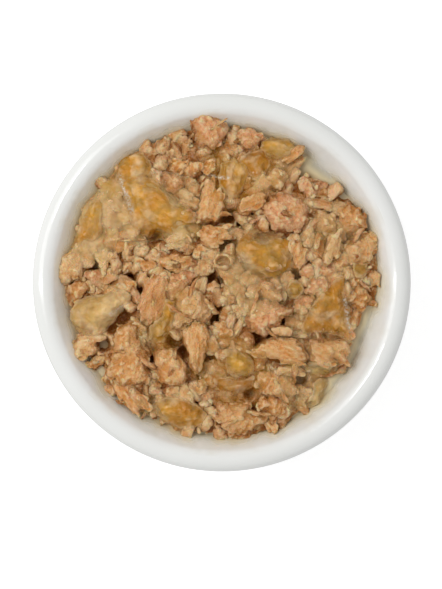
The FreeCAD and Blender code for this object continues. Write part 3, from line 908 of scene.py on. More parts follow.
@dataclass
class Butcher:
    """Models one flake of meat at a time, in millimetres about the origin."""

    voxel: float = 0.28

    def crumbs(self, rng: random.Random, outline: Outline, thick: float, grain: float, work: CutWork) -> list[Lobe]:
        """Close-set crumbs over the top and edge of a flake, drawn out along its grain."""
        reach = max(math.hypot(x, y) for x, y in outline) + work.crumb
        along, across = 1.5 * work.crumb * work.long, 1.5 * work.crumb
        lobes = []
        for row in np.arange(-reach, reach, across):
            for column in np.arange(-reach + rng.uniform(0, along), reach, along):
                far = column + rng.uniform(-0.3, 0.3) * along
                off = row + rng.uniform(-0.35, 0.35) * across
                x = far * math.cos(grain) - off * math.sin(grain)
                y = far * math.sin(grain) + off * math.cos(grain)
                if not inside(outline, x, y):
                    continue
                size = work.crumb * rng.uniform(0.6, 1.15)
                length = min(size * work.long * rng.uniform(0.7, 1.1), 0.4 * reach)
                half = (max(length, size), size, size * rng.uniform(0.7, 1.05))
                turn = (rng.uniform(-0.5, 0.5), rng.uniform(-0.3, 0.3), grain + rng.gauss(0, 0.5 / work.long))
                height = 0.30 * thick + rng.uniform(-0.45, 0.35) * work.crumb
                lobes.append(Lobe((x, y, height), half, turn, rng.random() < 0.6))
        return lobes

    def layers(self, rng: random.Random, outline: Outline, thick: float, depth: float) -> list[Layer]:
        """Three torn layers, each a little off the one above."""
        shift = [(rng.uniform(-0.5, 0.5), rng.uniform(-0.5, 0.5)) for _ in range(2)]
        return [
            Layer(tear(rng, resized(outline, 0.98), depth), 0.05 * thick, 0.36 * thick, 0.97),
            Layer(tear(rng, resized(outline, 1.07, shift[0]), depth), -0.3 * thick, 0.12 * thick, 0.97),
            Layer(tear(rng, resized(outline, 0.95, shift[1]), depth), -0.5 * thick, -0.2 * thick, 0.98),
        ]

    def ring(self, rng: random.Random, half: Sequence[float], thick: float) -> list[Lobe]:
        """A rim bent round a hollow, with a floor."""
        lobes = [Lobe((0, 0, -thick * 0.25), (half[0] * 0.8, half[1] * 0.8, thick * 0.25))]
        for number in range(12):
            angle = number * math.tau / 14
            place = (math.cos(angle) * (half[0] - 0.8), math.sin(angle) * (half[1] - 0.8), rng.uniform(-0.1, 0.05) * thick)
            size = (rng.uniform(0.55, 0.95), half[0] * 0.42, thick * rng.uniform(0.38, 0.5))
            lobes.append(Lobe(place, size, (0, 0, angle), number % 2 == 0))
        return lobes

    def flake(
        self, name: str, cut: Cut, outline: Outline, thick: float, seed: int, grain: float = 0.0, fine: float = 1.0
    ) -> bpy.types.Object:
        """Model one flake.

        Args:
            name: the piece's name.
            cut: how it broke off.
            outline: its outline from above, in millimetres about its middle.
            thick: its thickness in millimetres.
            seed: picks its accidents of form.
            grain: direction of its fibres, in degrees.
            fine: multiplies the mesh's finest detail.

        Returns:
            The flake, painted with its ridges and with how high each point lies in it.
        """
        rng = random.Random(seed)
        work = CUT_WORK[cut]
        turn = math.radians(grain)
        lobes: list[Lobe] = []
        layers: list[Layer] = []
        if cut is Cut.CUP:
            half = (max(x for x, _ in outline), max(y for _, y in outline))
            lobes = self.ring(rng, half, thick)
        else:
            reach = max(math.hypot(x, y) for x, y in outline)
            layers = self.layers(rng, outline, thick, work.tear * min(1.0, reach / 6))
            lobes = self.crumbs(rng, outline, thick, turn, work)
        piece = weld_parts(name, lobes, layers, self.voxel * fine)
        self.dome(piece, outline, thick, work.domed)
        if work.smoothing:
            Bench.modify(piece, "SMOOTH", factor=0.5, iterations=work.smoothing)
        Bench.settle(piece, Matrix.Rotation(-turn, 4, "Z"))
        Bench.roughen(piece, Bench.noise("lumps", "CLOUDS", 2.4, 1), work.lumps, rng, work.grain)
        Bench.roughen(piece, Bench.shreds("torn_crests", 1.5), work.crests, rng, work.grain)
        if fine < 1.4:
            Bench.roughen(piece, Bench.noise("grit", "CLOUDS", 0.8, 2), work.grit, rng, work.grain)
        Bench.settle(piece, Matrix.Rotation(turn, 4, "Z"))
        points = mesh_points(piece)
        low, high = points[:, 2].min(), points[:, 2].max()
        Bench.settle(piece, Matrix.Diagonal((1, 1, thick / (high - low), 1)) @ Matrix.Translation((0, 0, -(low + high) / 2)))
        paint_ridges(piece, 34, 1.05)
        paint(piece, "height", (points[:, 2] - low) / (high - low))
        bpy.ops.object.shade_smooth()
        return piece

    def dome(self, piece: bpy.types.Object, outline: Outline, thick: float, share: float) -> None:
        """Let a flake's top fall away towards its edge."""
        points = mesh_points(piece)
        near = (edge_distance(outline, points) / 2.6).clip(0, 1)
        above = points[:, 2].clip(0, None)
        points[:, 2] -= above * share * (1 - near) ** 1.5
        piece.data.vertices.foreach_set("co", points.ravel())


@dataclass(frozen=True)
class FlakeLook:
    """How one large flake looks: its cut, tone, the way its grain runs, and its outline in millimetres from the dish's middle."""

    cut: Cut
    tone: Tone
    grain: float = 0.0
    outline: Outline = ()


@dataclass(frozen=True)
class Morsel:
    """One smaller flake: its place from the dish's middle and sizes in millimetres, turn, cut and tone."""

    east: float
    north: float
    length: float
    width: float
    turn: float
    cut: Cut
    tone: Tone


FLAKE_LOOKS = {
    "flake_01": FlakeLook(
        Cut.CRUMBLY, Tone.PINK, 110,
        ((-8.8, 46), (-8.5, 47.7), (-5.2, 49), (-3.4, 49.4), (-1.1, 47.6), (0.3, 46.1), (2.2, 44.3),
        (1.8, 42.8), (0, 40.9), (-2.2, 38.4), (-5.6, 39.1), (-6.5, 39.4), (-7.5, 42.4), (-8.1, 44.4))
    ),
    "flake_02": FlakeLook(
        Cut.CRUMBLY, Tone.TAN, 0,
        ((-15.1, 34.5), (-11.8, 35.1), (-8.8, 35.1), (-5.8, 34.1), (-5.8, 31.8), (-8.5, 31.2),
        (-11.8, 31.6), (-14.4, 32.5))
    ),
    "flake_03": FlakeLook(
        Cut.CRUMBLY, Tone.PINK, 0,
        ((-17, 31.2), (-15.7, 32.2), (-13.4, 31.8), (-10.8, 31.8), (-10.5, 29.9), (-10.8, 27.9),
        (-11.8, 26.5), (-13.1, 24.9), (-14.8, 25.6), (-15.7, 27.2), (-16.2, 29.2))
    ),
    "flake_04": FlakeLook(
        Cut.SLAB, Tone.TAN, 78,
        ((-4.6, 29.9), (-2.6, 29.5), (-1.7, 27.7), (-1.7, 25.4), (0.2, 25.3), (0.5, 23.2), (1.2, 21.2),
        (-0.2, 19.6), (-1, 17.2), (-5, 17.2), (-8, 17.4), (-6.8, 19.9), (-6.2, 22.6), (-5.5, 25.2),
        (-5.3, 28.5))
    ),
    "flake_05": FlakeLook(
        Cut.SLAB, Tone.TAN, -2,
        ((-5, 16.6), (1.8, 16.4), (2.2, 12.9), (0.2, 11.8), (-1.9, 10.5), (-5.2, 10.7), (-6, 13))
    ),
    "flake_06": FlakeLook(
        Cut.SLAB, Tone.CREAM, 35,
        ((-16.8, 12), (-15.1, 13.7), (-12.5, 15), (-10.8, 16), (-9, 14), (-8.8, 12), (-11.8, 11.4),
        (-14.8, 11))
    ),
    "flake_07": FlakeLook(
        Cut.SLAB, Tone.TAN, 5,
        ((-17.9, 7), (-15.4, 8.4), (-12.8, 8.8), (-10.8, 7.7), (-8.5, 7.4), (-7.3, 5.7), (-10.1, 3.7),
        (-13.1, 2.6), (-15.7, 3.7), (-17.4, 5.1))
    ),
    "flake_08": FlakeLook(
        Cut.CRUMBLY, Tone.PINK, 80,
        ((-34.9, 21.9), (-33.9, 24.6), (-30.3, 25.6), (-28.6, 24.2), (-29, 20.9), (-30, 18), (-31.9, 15.6),
        (-33.9, 16.3), (-34.9, 19.3))
    ),
    "flake_09": FlakeLook(
        Cut.SLAB, Tone.ORANGE, 0,
        ((-34.2, 12), (-32.9, 14), (-28.3, 15), (-25, 13.7), (-24, 10.7), (-27, 8.6), (-30.3, 9),
        (-32.9, 10.4))
    ),
    "flake_10": FlakeLook(
        Cut.CRUMBLY, Tone.CREAM, 10,
        ((-45.1, 8.4), (-43.2, 9.8), (-40.5, 9.5), (-39.2, 7.4), (-39.2, 4.1), (-40.2, 1.2), (-42.8, 0.9),
        (-45.5, -0.4), (-47.3, 1.2), (-47.6, 4.5), (-47, 7))
    ),
    "flake_11": FlakeLook(
        Cut.CRUMBLY, Tone.TAN, 0,
        ((-44.8, -0.4), (-42.2, 0.4), (-39.2, 0.2), (-38.2, -1.8), (-40.2, -3.7), (-41.5, -5.3),
        (-43.2, -5.1), (-44, -3.1))
    ),
    "flake_12": FlakeLook(
        Cut.FIBROUS, Tone.PINK, 75,
        ((-22.4, -0.4), (-18.4, 2.3), (-15.4, 1.7), (-15.4, -4.4), (-16.7, -6.4), (-17.1, -10),
        (-20, -11.7), (-22.7, -10.3), (-24, -7), (-23.3, -3.7))
    ),
    "flake_13": FlakeLook(
        Cut.CRUMBLY, Tone.PINK, 0,
        ((-15.4, 1.2), (-11.8, 3.2), (-8.2, 2.9), (-7.5, 1.2), (-10.5, -1.8), (-12.5, -4.7), (-14.8, -5.4),
        (-15.4, -2.1))
    ),
    "flake_14": FlakeLook(
        Cut.SMOOTH, Tone.CREAM, 70,
        ((-13.8, -9), (-12.4, -4.7), (-10.5, -1.4), (-7.5, -1.2), (-5.2, -3.7), (-4.5, -6), (-3.5, -9),
        (-5.2, -11), (-8.8, -11.4), (-11.5, -13.5), (-13.6, -13.3), (-13.4, -11.2))
    ),
    "flake_15": FlakeLook(
        Cut.FIBROUS, Tone.TAN, 90,
        ((-11.8, -13.6), (-8.5, -12), (-4.5, -11.7), (-3.5, -15), (-4.5, -18.9), (-5.2, -23.6),
        (-6.2, -26.2), (-8.8, -24.9), (-9.5, -20.2), (-10.5, -17))
    ),
    "flake_16": FlakeLook(
        Cut.CRUMBLY, Tone.TAN, 100,
        ((-30, -13.6), (-26.3, -10.9), (-24, -11.7), (-24.3, -15.6), (-22.7, -18.6), (-21, -20.2),
        (-21.7, -23.6), (-20.7, -26.9), (-22.4, -29.5), (-26.6, -29.5), (-28.6, -30.1), (-31, -27.8),
        (-33.6, -27.2), (-33.9, -24.9), (-31.6, -22.2), (-31.3, -18.9), (-31.6, -16.3))
    ),
    "flake_17": FlakeLook(
        Cut.FIBROUS, Tone.ORANGE, -60,
        ((-30.3, -26.9), (-28.3, -29.8), (-25, -29.8), (-22.4, -32.1), (-21.7, -34.4), (-23.3, -36.7),
        (-25.3, -38.4), (-27.3, -36.1), (-29.6, -33.1), (-31.6, -30.1))
    ),
    "flake_18": FlakeLook(
        Cut.SMOOTH, Tone.TAN, -70,
        ((-19.4, -20.2), (-16.7, -18.7), (-14.1, -19), (-11.8, -21.6), (-10.1, -23.9), (-9.8, -27.5),
        (-11.1, -29.7), (-14.8, -29.8), (-17.4, -28.5), (-18.1, -25.2), (-19.4, -22.9))
    ),
    "flake_19": FlakeLook(
        Cut.SMOOTH, Tone.CREAM, 0,
        ((-41.8, -15.6), (-38.2, -15.3), (-32.2, -15.1), (-33.2, -16.2), (-35.8, -17), (-36.4, -18.3),
        (-35.6, -19.6), (-37.2, -21.2), (-39.2, -20.9), (-41.5, -22.4), (-42.8, -20.2), (-42.5, -17.6))
    ),
    "flake_20": FlakeLook(
        Cut.SMOOTH, Tone.PINK, 0,
        ((4.8, 44.3), (8.1, 45), (10.3, 43.5), (11.4, 41.3), (9.9, 39.1), (7, 38.7), (5.1, 39.8),
        (4.4, 42.4))
    ),
    "flake_21": FlakeLook(
        Cut.CRUMBLY, Tone.CREAM, 0,
        ((12.1, 30.2), (13.6, 32.1), (16.2, 33), (18, 31.8), (18, 29.5), (16.5, 26.2), (14.7, 26.9),
        (12.9, 28.8))
    ),
    "flake_22": FlakeLook(
        Cut.CRUMBLY, Tone.PINK, 0,
        ((21.7, 29.5), (24.3, 30.4), (26.9, 28.4), (28, 25.8), (27.6, 24), (25, 24.8), (22.4, 26.8))
    ),
    "flake_23": FlakeLook(
        Cut.SLAB, Tone.ORANGE, 20,
        ((4.4, 21), (5.5, 23.2), (8.8, 25.1), (12.1, 26.2), (13.2, 25.1), (12.1, 22.9), (10.3, 21.4),
        (7.7, 19.9), (5.5, 19.9))
    ),
    "flake_24": FlakeLook(
        Cut.CRUMBLY, Tone.PINK, -10,
        ((11, 19.9), (11.8, 21.8), (14, 24.7), (16.5, 24.7), (18.8, 25.6), (21.7, 24.4), (23.9, 23.2),
        (25.4, 20.7), (24.6, 17.4), (23.2, 15.1), (19.9, 14.8), (15.1, 14.4), (12.9, 16.2), (11.4, 18.5))
    ),
    "flake_25": FlakeLook(
        Cut.CRUMBLY, Tone.CREAM, -45,
        ((26.9, 21), (29.4, 20.9), (31.7, 18.8), (33.9, 16.6), (33.1, 14.4), (30.5, 14.2), (28, 15.1),
        (27.2, 17.4))
    ),
    "flake_26": FlakeLook(
        Cut.SLAB, Tone.CREAM, 60,
        ((31.5, 14), (34.2, 14.4), (34.8, 12.6), (34.1, 10), (34.2, 7.2), (33, 6.4), (32.4, 9.3),
        (31.4, 6.4), (30.5, 4.6), (29.2, 5.4), (30, 8.1), (31.1, 11.1))
    ),
    "flake_27": FlakeLook(
        Cut.CRUMBLY, Tone.ORANGE, 0,
        ((32.8, 20.7), (34.6, 22.5), (37.2, 22.9), (39.8, 21.4), (42, 19.2), (42.7, 16.2), (41.2, 14.8),
        (38.7, 14.8), (36.1, 13.3), (34.6, 15.5), (33.5, 18.1))
    ),
    "flake_28": FlakeLook(
        Cut.CRUMBLY, Tone.TAN, 30,
        ((34.6, 10.7), (37.5, 12.2), (40.5, 14), (43.8, 14.8), (45.3, 12.6), (45.3, 9.3), (43.1, 7),
        (42.3, 4.9), (38.7, 5.2), (35.7, 5.2), (33.9, 7.4))
    ),
    "flake_29": FlakeLook(
        Cut.CRUMBLY, Tone.ORANGE, 0,
        ((36.4, -3), (38.7, -0.2), (41.2, -0.2), (42.9, -2.7), (43.6, -4.9), (41.6, -6.2), (40.1, -7.6),
        (38.1, -6.9), (36.2, -4.9))
    ),
    "flake_30": FlakeLook(
        Cut.CUP, Tone.CREAM, 0,
        ()
    ),
    "flake_31": FlakeLook(
        Cut.SLAB, Tone.TAN, 80,
        ((19.9, 11.8), (22.4, 12.2), (23.5, 10.2), (25.8, 10), (24.8, 8.1), (23.7, 5.9), (22.4, 3.2),
        (21.1, 4.1), (20.4, 7.4))
    ),
    "flake_32": FlakeLook(
        Cut.SMOOTH, Tone.ORANGE, -40,
        ((10.1, -2.3), (11.8, 0.5), (14.3, 0), (16.4, -3), (17.3, -5.1), (14.3, -5.4), (11.6, -4.7))
    ),
    "flake_33": FlakeLook(
        Cut.CRUMBLY, Tone.PINK, 0,
        ((7, -11.1), (7.7, -8.9), (9.5, -7.1), (9.9, -5.2), (12.9, -5.2), (15.8, -6), (18.8, -7.2),
        (20.8, -7.6), (19.7, -9.7), (17.2, -10.4), (16.4, -12.6), (14, -13.9), (12.7, -15.4), (10.3, -14.6),
        (8.1, -13))
    ),
    "flake_34": FlakeLook(
        Cut.FIBROUS, Tone.TAN, -15,
        ((8.4, -20.3), (10.6, -18.1), (12.9, -16.3), (17.3, -15.7), (21.3, -16.3), (23.5, -18.5),
        (24.6, -21.8), (22.8, -23.9), (19.5, -23.7), (16.2, -22.2), (12.9, -21.3))
    ),
    "flake_35": FlakeLook(
        Cut.CRUMBLY, Tone.TAN, 0,
        ((9.9, -25.9), (12.9, -25.5), (17.3, -26), (20.2, -27.7), (21.7, -30.3), (21, -32.5), (18, -33.2),
        (14.3, -32.9), (11.4, -31.8), (9.7, -28.8))
    ),
    "flake_36": FlakeLook(
        Cut.SLAB, Tone.TAN, -30,
        ((25.4, -17), (29.1, -16.8), (32.8, -17.2), (35.3, -16.8), (36.8, -18.5), (37, -20.3), (35, -21.1),
        (35.9, -22.9), (34.6, -24), (32, -22.2), (30.9, -24.4), (28, -24.4), (25.4, -22.9), (24.8, -20))
    ),
    "flake_37": FlakeLook(
        Cut.CRUMBLY, Tone.TAN, 0,
        ((-1.9, -35.1), (-0.8, -33.4), (3.3, -34.3), (5.5, -33.6), (7.7, -34.3), (7.5, -36), (9.5, -36.9),
        (11.8, -37.8), (14, -38), (14, -39.9), (10.6, -41.3), (8.8, -42.8), (6.2, -43.2), (5.1, -44.7),
        (3.3, -43.6), (0.3, -42.4), (-1.1, -39.5))
    ),
    "flake_38": FlakeLook(
        Cut.CRUMBLY, Tone.ORANGE, 20,
        ((9.9, -33.6), (14.3, -33), (18.8, -33.2), (19.3, -35.4), (17.3, -36.9), (15.8, -39.1),
        (14.3, -40.9), (13.2, -37.3), (10.6, -36.9))
    ),
}

MORSELS = (
    Morsel(-19.5, 39, 6.5, 4.5, 0, Cut.CRUMBLY, Tone.PINK),
    Morsel(-12, 38.6, 8, 5, 15, Cut.CRUMBLY, Tone.TAN),
    Morsel(-17.5, 34.2, 5, 3.5, 0, Cut.CRUMBLY, Tone.CREAM),
    Morsel(-9, 29, 4.5, 6, 0, Cut.CRUMBLY, Tone.ORANGE),
    Morsel(-5, 37, 6, 4, 0, Cut.SMOOTH, Tone.ORANGE),
    Morsel(-4, 33.5, 5, 5, 0, Cut.CRUMBLY, Tone.ORANGE),
    Morsel(-18.5, 29, 5, 3.5, 90, Cut.SLAB, Tone.PINK),
    Morsel(-7.5, 26.5, 5, 5, 0, Cut.SMOOTH, Tone.ORANGE),
    Morsel(-9.5, 22.8, 6.5, 4.5, 0, Cut.CRUMBLY, Tone.ORANGE),
    Morsel(-15.5, 10, 10, 2.8, 3, Cut.SLAB, Tone.CREAM),
    Morsel(-5, 9.3, 8.5, 5, -10, Cut.CRUMBLY, Tone.TAN),
    Morsel(-33, 28.5, 5, 2.5, 60, Cut.SMOOTH, Tone.CREAM),
    Morsel(-31.5, 27, 6, 4, 60, Cut.SLAB, Tone.ORANGE),
    Morsel(-23, 9, 5, 4, 40, Cut.SLAB, Tone.CREAM),
    Morsel(-36.5, 9.5, 5, 4, 90, Cut.CRUMBLY, Tone.TAN),
    Morsel(-40.5, 11, 5, 4, 0, Cut.CRUMBLY, Tone.CREAM),
    Morsel(-34.5, 6, 7.5, 3, -60, Cut.SLAB, Tone.CREAM),
    Morsel(-30.8, 5, 9, 3.2, 90, Cut.SLAB, Tone.CREAM),
    Morsel(-27, 4.5, 4.5, 3.5, 0, Cut.CRUMBLY, Tone.TAN),
    Morsel(-22, 4, 6, 5, 0, Cut.SMOOTH, Tone.ORANGE),
    Morsel(-35.7, 1.2, 7, 6, 0, Cut.CRUMBLY, Tone.PINK),
    Morsel(-34, -2.2, 8, 3, 0, Cut.CRUMBLY, Tone.ORANGE),
    Morsel(-27, -1.5, 6, 5, -30, Cut.SMOOTH, Tone.TAN),
    Morsel(-36, -22.8, 6.5, 3.2, 25, Cut.SMOOTH, Tone.TAN),
    Morsel(-18, 1, 6, 3.5, 0, Cut.SMOOTH, Tone.PINK),
    Morsel(-14.5, -31.5, 5, 3.5, 0, Cut.CRUMBLY, Tone.TAN),
    Morsel(-18, -33.5, 3, 5, 0, Cut.SLAB, Tone.CREAM),
    Morsel(-20, -29, 6, 4, -60, Cut.CRUMBLY, Tone.TAN),
    Morsel(-7, -30.5, 7, 5, 0, Cut.CRUMBLY, Tone.TAN),
    Morsel(-2, -28, 6, 5, 0, Cut.CRUMBLY, Tone.ORANGE),
    Morsel(-2, -24.5, 7, 5, 0, Cut.CRUMBLY, Tone.CREAM),
    Morsel(1, -21, 5, 5, 0, Cut.SMOOTH, Tone.PINK),
    Morsel(4, 44, 3, 3, 0, Cut.CRUMBLY, Tone.CREAM),
    Morsel(2.5, 42, 4, 3, 0, Cut.CRUMBLY, Tone.TAN),
    Morsel(3.5, 38.5, 7.5, 5, 0, Cut.SMOOTH, Tone.PINK),
    Morsel(20.5, 37, 9, 3.2, 35, Cut.FIBROUS, Tone.ORANGE),
    Morsel(21, 34, 8, 4, 60, Cut.FIBROUS, Tone.TAN),
    Morsel(18.5, 28, 7, 4, 90, Cut.SMOOTH, Tone.PINK),
    Morsel(11.5, 27.6, 8, 3, -15, Cut.SLAB, Tone.ORANGE),
    Morsel(5.5, 18.5, 6, 2.5, -50, Cut.SMOOTH, Tone.CREAM),
    Morsel(26.5, 21.5, 8, 3.6, -50, Cut.CRUMBLY, Tone.CREAM),
    Morsel(8.5, 16.5, 6, 6, 0, Cut.CRUMBLY, Tone.CREAM),
    Morsel(12, 16.5, 5, 4, -40, Cut.SMOOTH, Tone.ORANGE),
    Morsel(3, 14, 4, 4, 0, Cut.SMOOTH, Tone.ORANGE),
    Morsel(-5.2, 4.3, 6, 5, 10, Cut.CRUMBLY, Tone.CREAM),
    Morsel(1.5, 2.5, 8, 4, -50, Cut.SMOOTH, Tone.TAN),
    Morsel(24.5, 14.2, 5, 5, 0, Cut.CRUMBLY, Tone.TAN),
    Morsel(27.5, 10, 9, 5.5, 80, Cut.SMOOTH, Tone.ORANGE),
    Morsel(25, 3, 5, 5, 0, Cut.SMOOTH, Tone.PINK),
    Morsel(29.8, 3, 7.5, 5.5, 0, Cut.CRUMBLY, Tone.PINK),
    Morsel(27.8, -1.5, 7.5, 6, 0, Cut.CRUMBLY, Tone.PINK),
    Morsel(7.5, 0.5, 7, 6, 0, Cut.CRUMBLY, Tone.CREAM),
    Morsel(17.8, -2.5, 8, 1.8, 85, Cut.SLAB, Tone.CREAM),
    Morsel(15, 5, 5, 4, 0, Cut.SMOOTH, Tone.TAN),
    Morsel(5.6, -6.5, 8.5, 2.8, -75, Cut.SLAB, Tone.CREAM),
    Morsel(8.5, -3.6, 4, 1.8, -20, Cut.SLAB, Tone.CREAM),
    Morsel(4.6, -13.2, 7, 3, 62, Cut.SLAB, Tone.CREAM),
    Morsel(2.2, -8.5, 9, 6, 90, Cut.CRUMBLY, Tone.ORANGE),
    Morsel(2, -3, 5, 6, 0, Cut.CRUMBLY, Tone.TAN),
    Morsel(-3, -2, 5, 5, 0, Cut.CRUMBLY, Tone.ORANGE),
    Morsel(0, -14, 6, 6, 0, Cut.SMOOTH, Tone.TAN),
    Morsel(0, -17.5, 6, 4, 0, Cut.SMOOTH, Tone.PINK),
    Morsel(17.5, -14, 7, 3.2, 0, Cut.SLAB, Tone.TAN),
    Morsel(21.5, -11.5, 7, 5, 0, Cut.SMOOTH, Tone.TAN),
    Morsel(24, -6, 7, 5, 0, Cut.SMOOTH, Tone.PINK),
    Morsel(20, -25.3, 10, 3, -6, Cut.SLAB, Tone.CREAM),
    Morsel(23, -31.5, 4, 4, 0, Cut.CRUMBLY, Tone.TAN),
    Morsel(23, -34, 5, 4, 0, Cut.CRUMBLY, Tone.ORANGE),
    Morsel(5, -19, 6, 4, 0, Cut.SMOOTH, Tone.TAN),
    Morsel(10, -24, 6, 4, 0, Cut.CRUMBLY, Tone.TAN),
    Morsel(4.7, -45.6, 4, 4, 0, Cut.CRUMBLY, Tone.ORANGE),
    Morsel(-2.5, -37, 4, 4, 0, Cut.CRUMBLY, Tone.CREAM),
    Morsel(-24, -34, 8, 3.5, -55, Cut.SMOOTH, Tone.ORANGE),
    Morsel(-10, 19, 5, 4, 0, Cut.SMOOTH, Tone.ORANGE),
    Morsel(38.5, -11, 6, 4, 80, Cut.SMOOTH, Tone.ORANGE),
    Morsel(39, 0.5, 6, 4, 0, Cut.CRUMBLY, Tone.ORANGE),
)

# Deep gaps between the flakes: place from the dish's middle and radius, in millimetres.
HOLES = (
    (-18.5, 13, 2.2),
    (-28.5, 17.3, 1.6),
    (-33.5, 14, 1.5),
    (-22.5, 7, 1.6),
    (-37, 5, 1.3),
    (-31, 2, 1.7),
    (-26.5, 1.3, 1.3),
    (-18.5, 4.5, 1.6),
    (-14, 3, 1),
    (-3.5, 1.8, 2),
    (0, 0, 1.8),
    (-9, 25.3, 1.6),
    (-6.8, 24, 1.2),
    (2, 19.5, 2.2),
    (7, 19.5, 1.8),
    (2, 11, 2.2),
    (22.5, 2, 2),
    (34.8, 12, 1.5),
    (35, 4.8, 1.3),
    (-1.5, -8.5, 2),
    (-1.5, -11, 1.5),
    (-13.5, -16.5, 2),
    (-11, -20, 1.6),
    (-28.5, -10, 2.2),
    (-31.5, -12.5, 2),
    (-34.5, -18, 1.8),
    (10.5, -16.3, 1.8),
    (-3.5, -21.5, 1.7),
    (-8.5, -33.7, 1.7),
    (-20.2, -21, 1.5),
    (-18.5, -27, 1.2),
    (22.5, -28.2, 1.8),
    (14, -15, 1),
    (18, -11.8, 1.5),
    (-23, -2, 1.3),
    (-5.5, -27, 1.2),
    (8, -32, 1.3),
    (6, 17, 1.4),
    (11, -1, 1),
    (33, 31, 3),
    (36, 28, 3.4),
    (40, 25.5, 2.8),
)


@dataclass
class LargeFlakes:
    """The large flakes of meat, each in the place that its CAD node holds."""

    pile: Pile
    butcher: Butcher
    material: bpy.types.Material
    depth_share: float = 1.25

    def build(self) -> list[bpy.types.Object]:
        """Model, place and dress every large flake."""
        return [self.flake(name, look, number) for number, (name, look) in enumerate(FLAKE_LOOKS.items())]

    def flake(self, node: str, look: FlakeLook, number: int) -> bpy.types.Object:
        """Model one flake over its node.

        Args:
            node: the CAD node that it stands for.
            look: its cut, tone, grain and outline.
            number: its place in the list, which seeds it.

        Returns:
            The finished piece.
        """
        low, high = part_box(node)
        middle = (low + high) / 2
        thick = (high.z - low.z) * self.depth_share
        half = ((high.x - low.x) / 2 / MM, (high.y - low.y) / 2 / MM)
        outline = about(look.outline, middle) or torn_outline(random.Random(SEED + number), half, 7)
        piece = self.butcher.flake(f"{node}_meat", look.cut, outline, thick / MM, SEED + number, look.grain)
        rng = random.Random(SEED * 11 + number)
        lean = (self.pile.lean(middle.x, middle.y) + Vector((rng.gauss(0, 0.11), rng.gauss(0, 0.11), 0))).normalized()
        seat = Vector((middle.x, middle.y, high.z - thick / 2))
        Bench.settle(piece, laid(seat, lean, 0, (MM, MM, MM)))
        over = mesh_points(piece)[:, 2].max() - high.z
        Bench.settle(piece, Matrix.Translation((0, 0, -over)))
        dress(piece, self.material, look.tone, node)
        log.info("%s: %s, %d faces", piece.name, look.cut.value, len(piece.data.polygons))
        return piece


def dress(piece: bpy.types.Object, material: bpy.types.Material, tone: Enum, node: str) -> None:
    """Give a piece its tone and material, hang it on the body, and hide the CAD node that it stands for."""
    paint(piece, "tone", np.full(len(piece.data.vertices), tone.value))
    piece.data.materials.append(material)
    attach(piece, ROOT)
    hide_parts(node)


@dataclass
class HeapCore:
    """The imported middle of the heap: smaller flakes pressed together under the loose ones."""

    pile: Pile
    material: bpy.types.Material
    voxel: float = 0.54
    spacing: float = 2.5
    gap_depth: float = 4.0

    def build(self) -> bpy.types.Object:
        """Model, dress and place the core."""
        rng = random.Random(SEED)
        core = Bench.copy(frame["nodes"]["meat_heap"])
        core.parent = None
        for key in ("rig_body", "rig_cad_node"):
            if key in core:
                del core[key]
        core.data.materials.clear()
        Bench.settle(core, Matrix.Diagonal((1 / MM, 1 / MM, 1 / MM, 1.0)))
        Bench.modify(core, "WELD", merge_threshold=0.01)
        core = weld_parts("heap_core", self.packed(rng), (), self.voxel, [core])
        Bench.roughen(core, Bench.noise("lumps", "CLOUDS", 2.4, 1), 1.4, rng)
        Bench.roughen(core, Bench.shreds("packed_crests", 2.0), 0.7, rng)
        Bench.roughen(core, Bench.noise("grit", "CLOUDS", 0.8, 2), 0.7, rng)
        self.hollow(core)
        paint_ridges(core, 9, 1.3)
        paint(core, "tone", np.full(len(core.data.vertices), Tone.ORANGE.value - 0.05))
        # Painted shade: the "height" that the material reads is made up, low in the deep gaps and between the broad
        # bumps, so that these are painted darker.
        paint(core, "height", (0.52 + 0.3 * standing(core, 60) - 0.5 * self.gaps(core)).clip(0, 1))
        Bench.settle(core, Matrix.Diagonal((MM, MM, MM, 1.0)))
        bpy.ops.object.shade_smooth()
        core.data.materials.append(self.material)
        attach(core, ROOT)
        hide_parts("meat_heap")
        log.info("%s: %d faces", core.name, len(core.data.polygons))
        return core

    def packed(self, rng: random.Random) -> list[Lobe]:
        """Small flakes set close together over the heap, each with its own turn."""
        lobes = []
        reach = self.pile.reach / MM
        for row in np.arange(-reach, reach, self.spacing):
            for column in np.arange(-reach, reach, self.spacing):
                x = (column + rng.uniform(-0.9, 0.9)) * MM
                y = (row + rng.uniform(-0.9, 0.9)) * MM
                ground, _ = self.pile.drop(self.pile.heap, x, y)
                if ground is None or ground < self.pile.level or self.pile.in_gap(x, y):
                    continue
                size = rng.uniform(0.8, 1.7)
                half = (size * rng.uniform(1.0, 1.9), size, size * rng.uniform(0.6, 1.0))
                turn = (rng.uniform(-0.6, 0.6), rng.uniform(-0.5, 0.5), rng.uniform(0, math.tau))
                height = ground / MM + rng.uniform(-1.0, 0.4)
                lobes.append(Lobe((x / MM, y / MM, height), half, turn, rng.random() < 0.6))
        return lobes

    def gaps(self, core: bpy.types.Object) -> np.ndarray:
        """How far into a deep gap each point lies, from 0 to 1."""
        points = mesh_points(core)
        share = np.zeros(len(points))
        for east, north, radius in HOLES:
            away = np.hypot(*(points[:, :2] - (east, north)).T)
            share = np.maximum(share, np.exp(-((away / (radius * 1.1)) ** 4)))
        return share

    def hollow(self, core: bpy.types.Object) -> None:
        """Press the deep gaps into the core."""
        points = mesh_points(core)
        upper = points[:, 2] > self.pile.level / MM - 2
        points[:, 2] -= np.where(upper, self.gap_depth * self.gaps(core), 0)
        core.data.vertices.foreach_set("co", points.ravel())


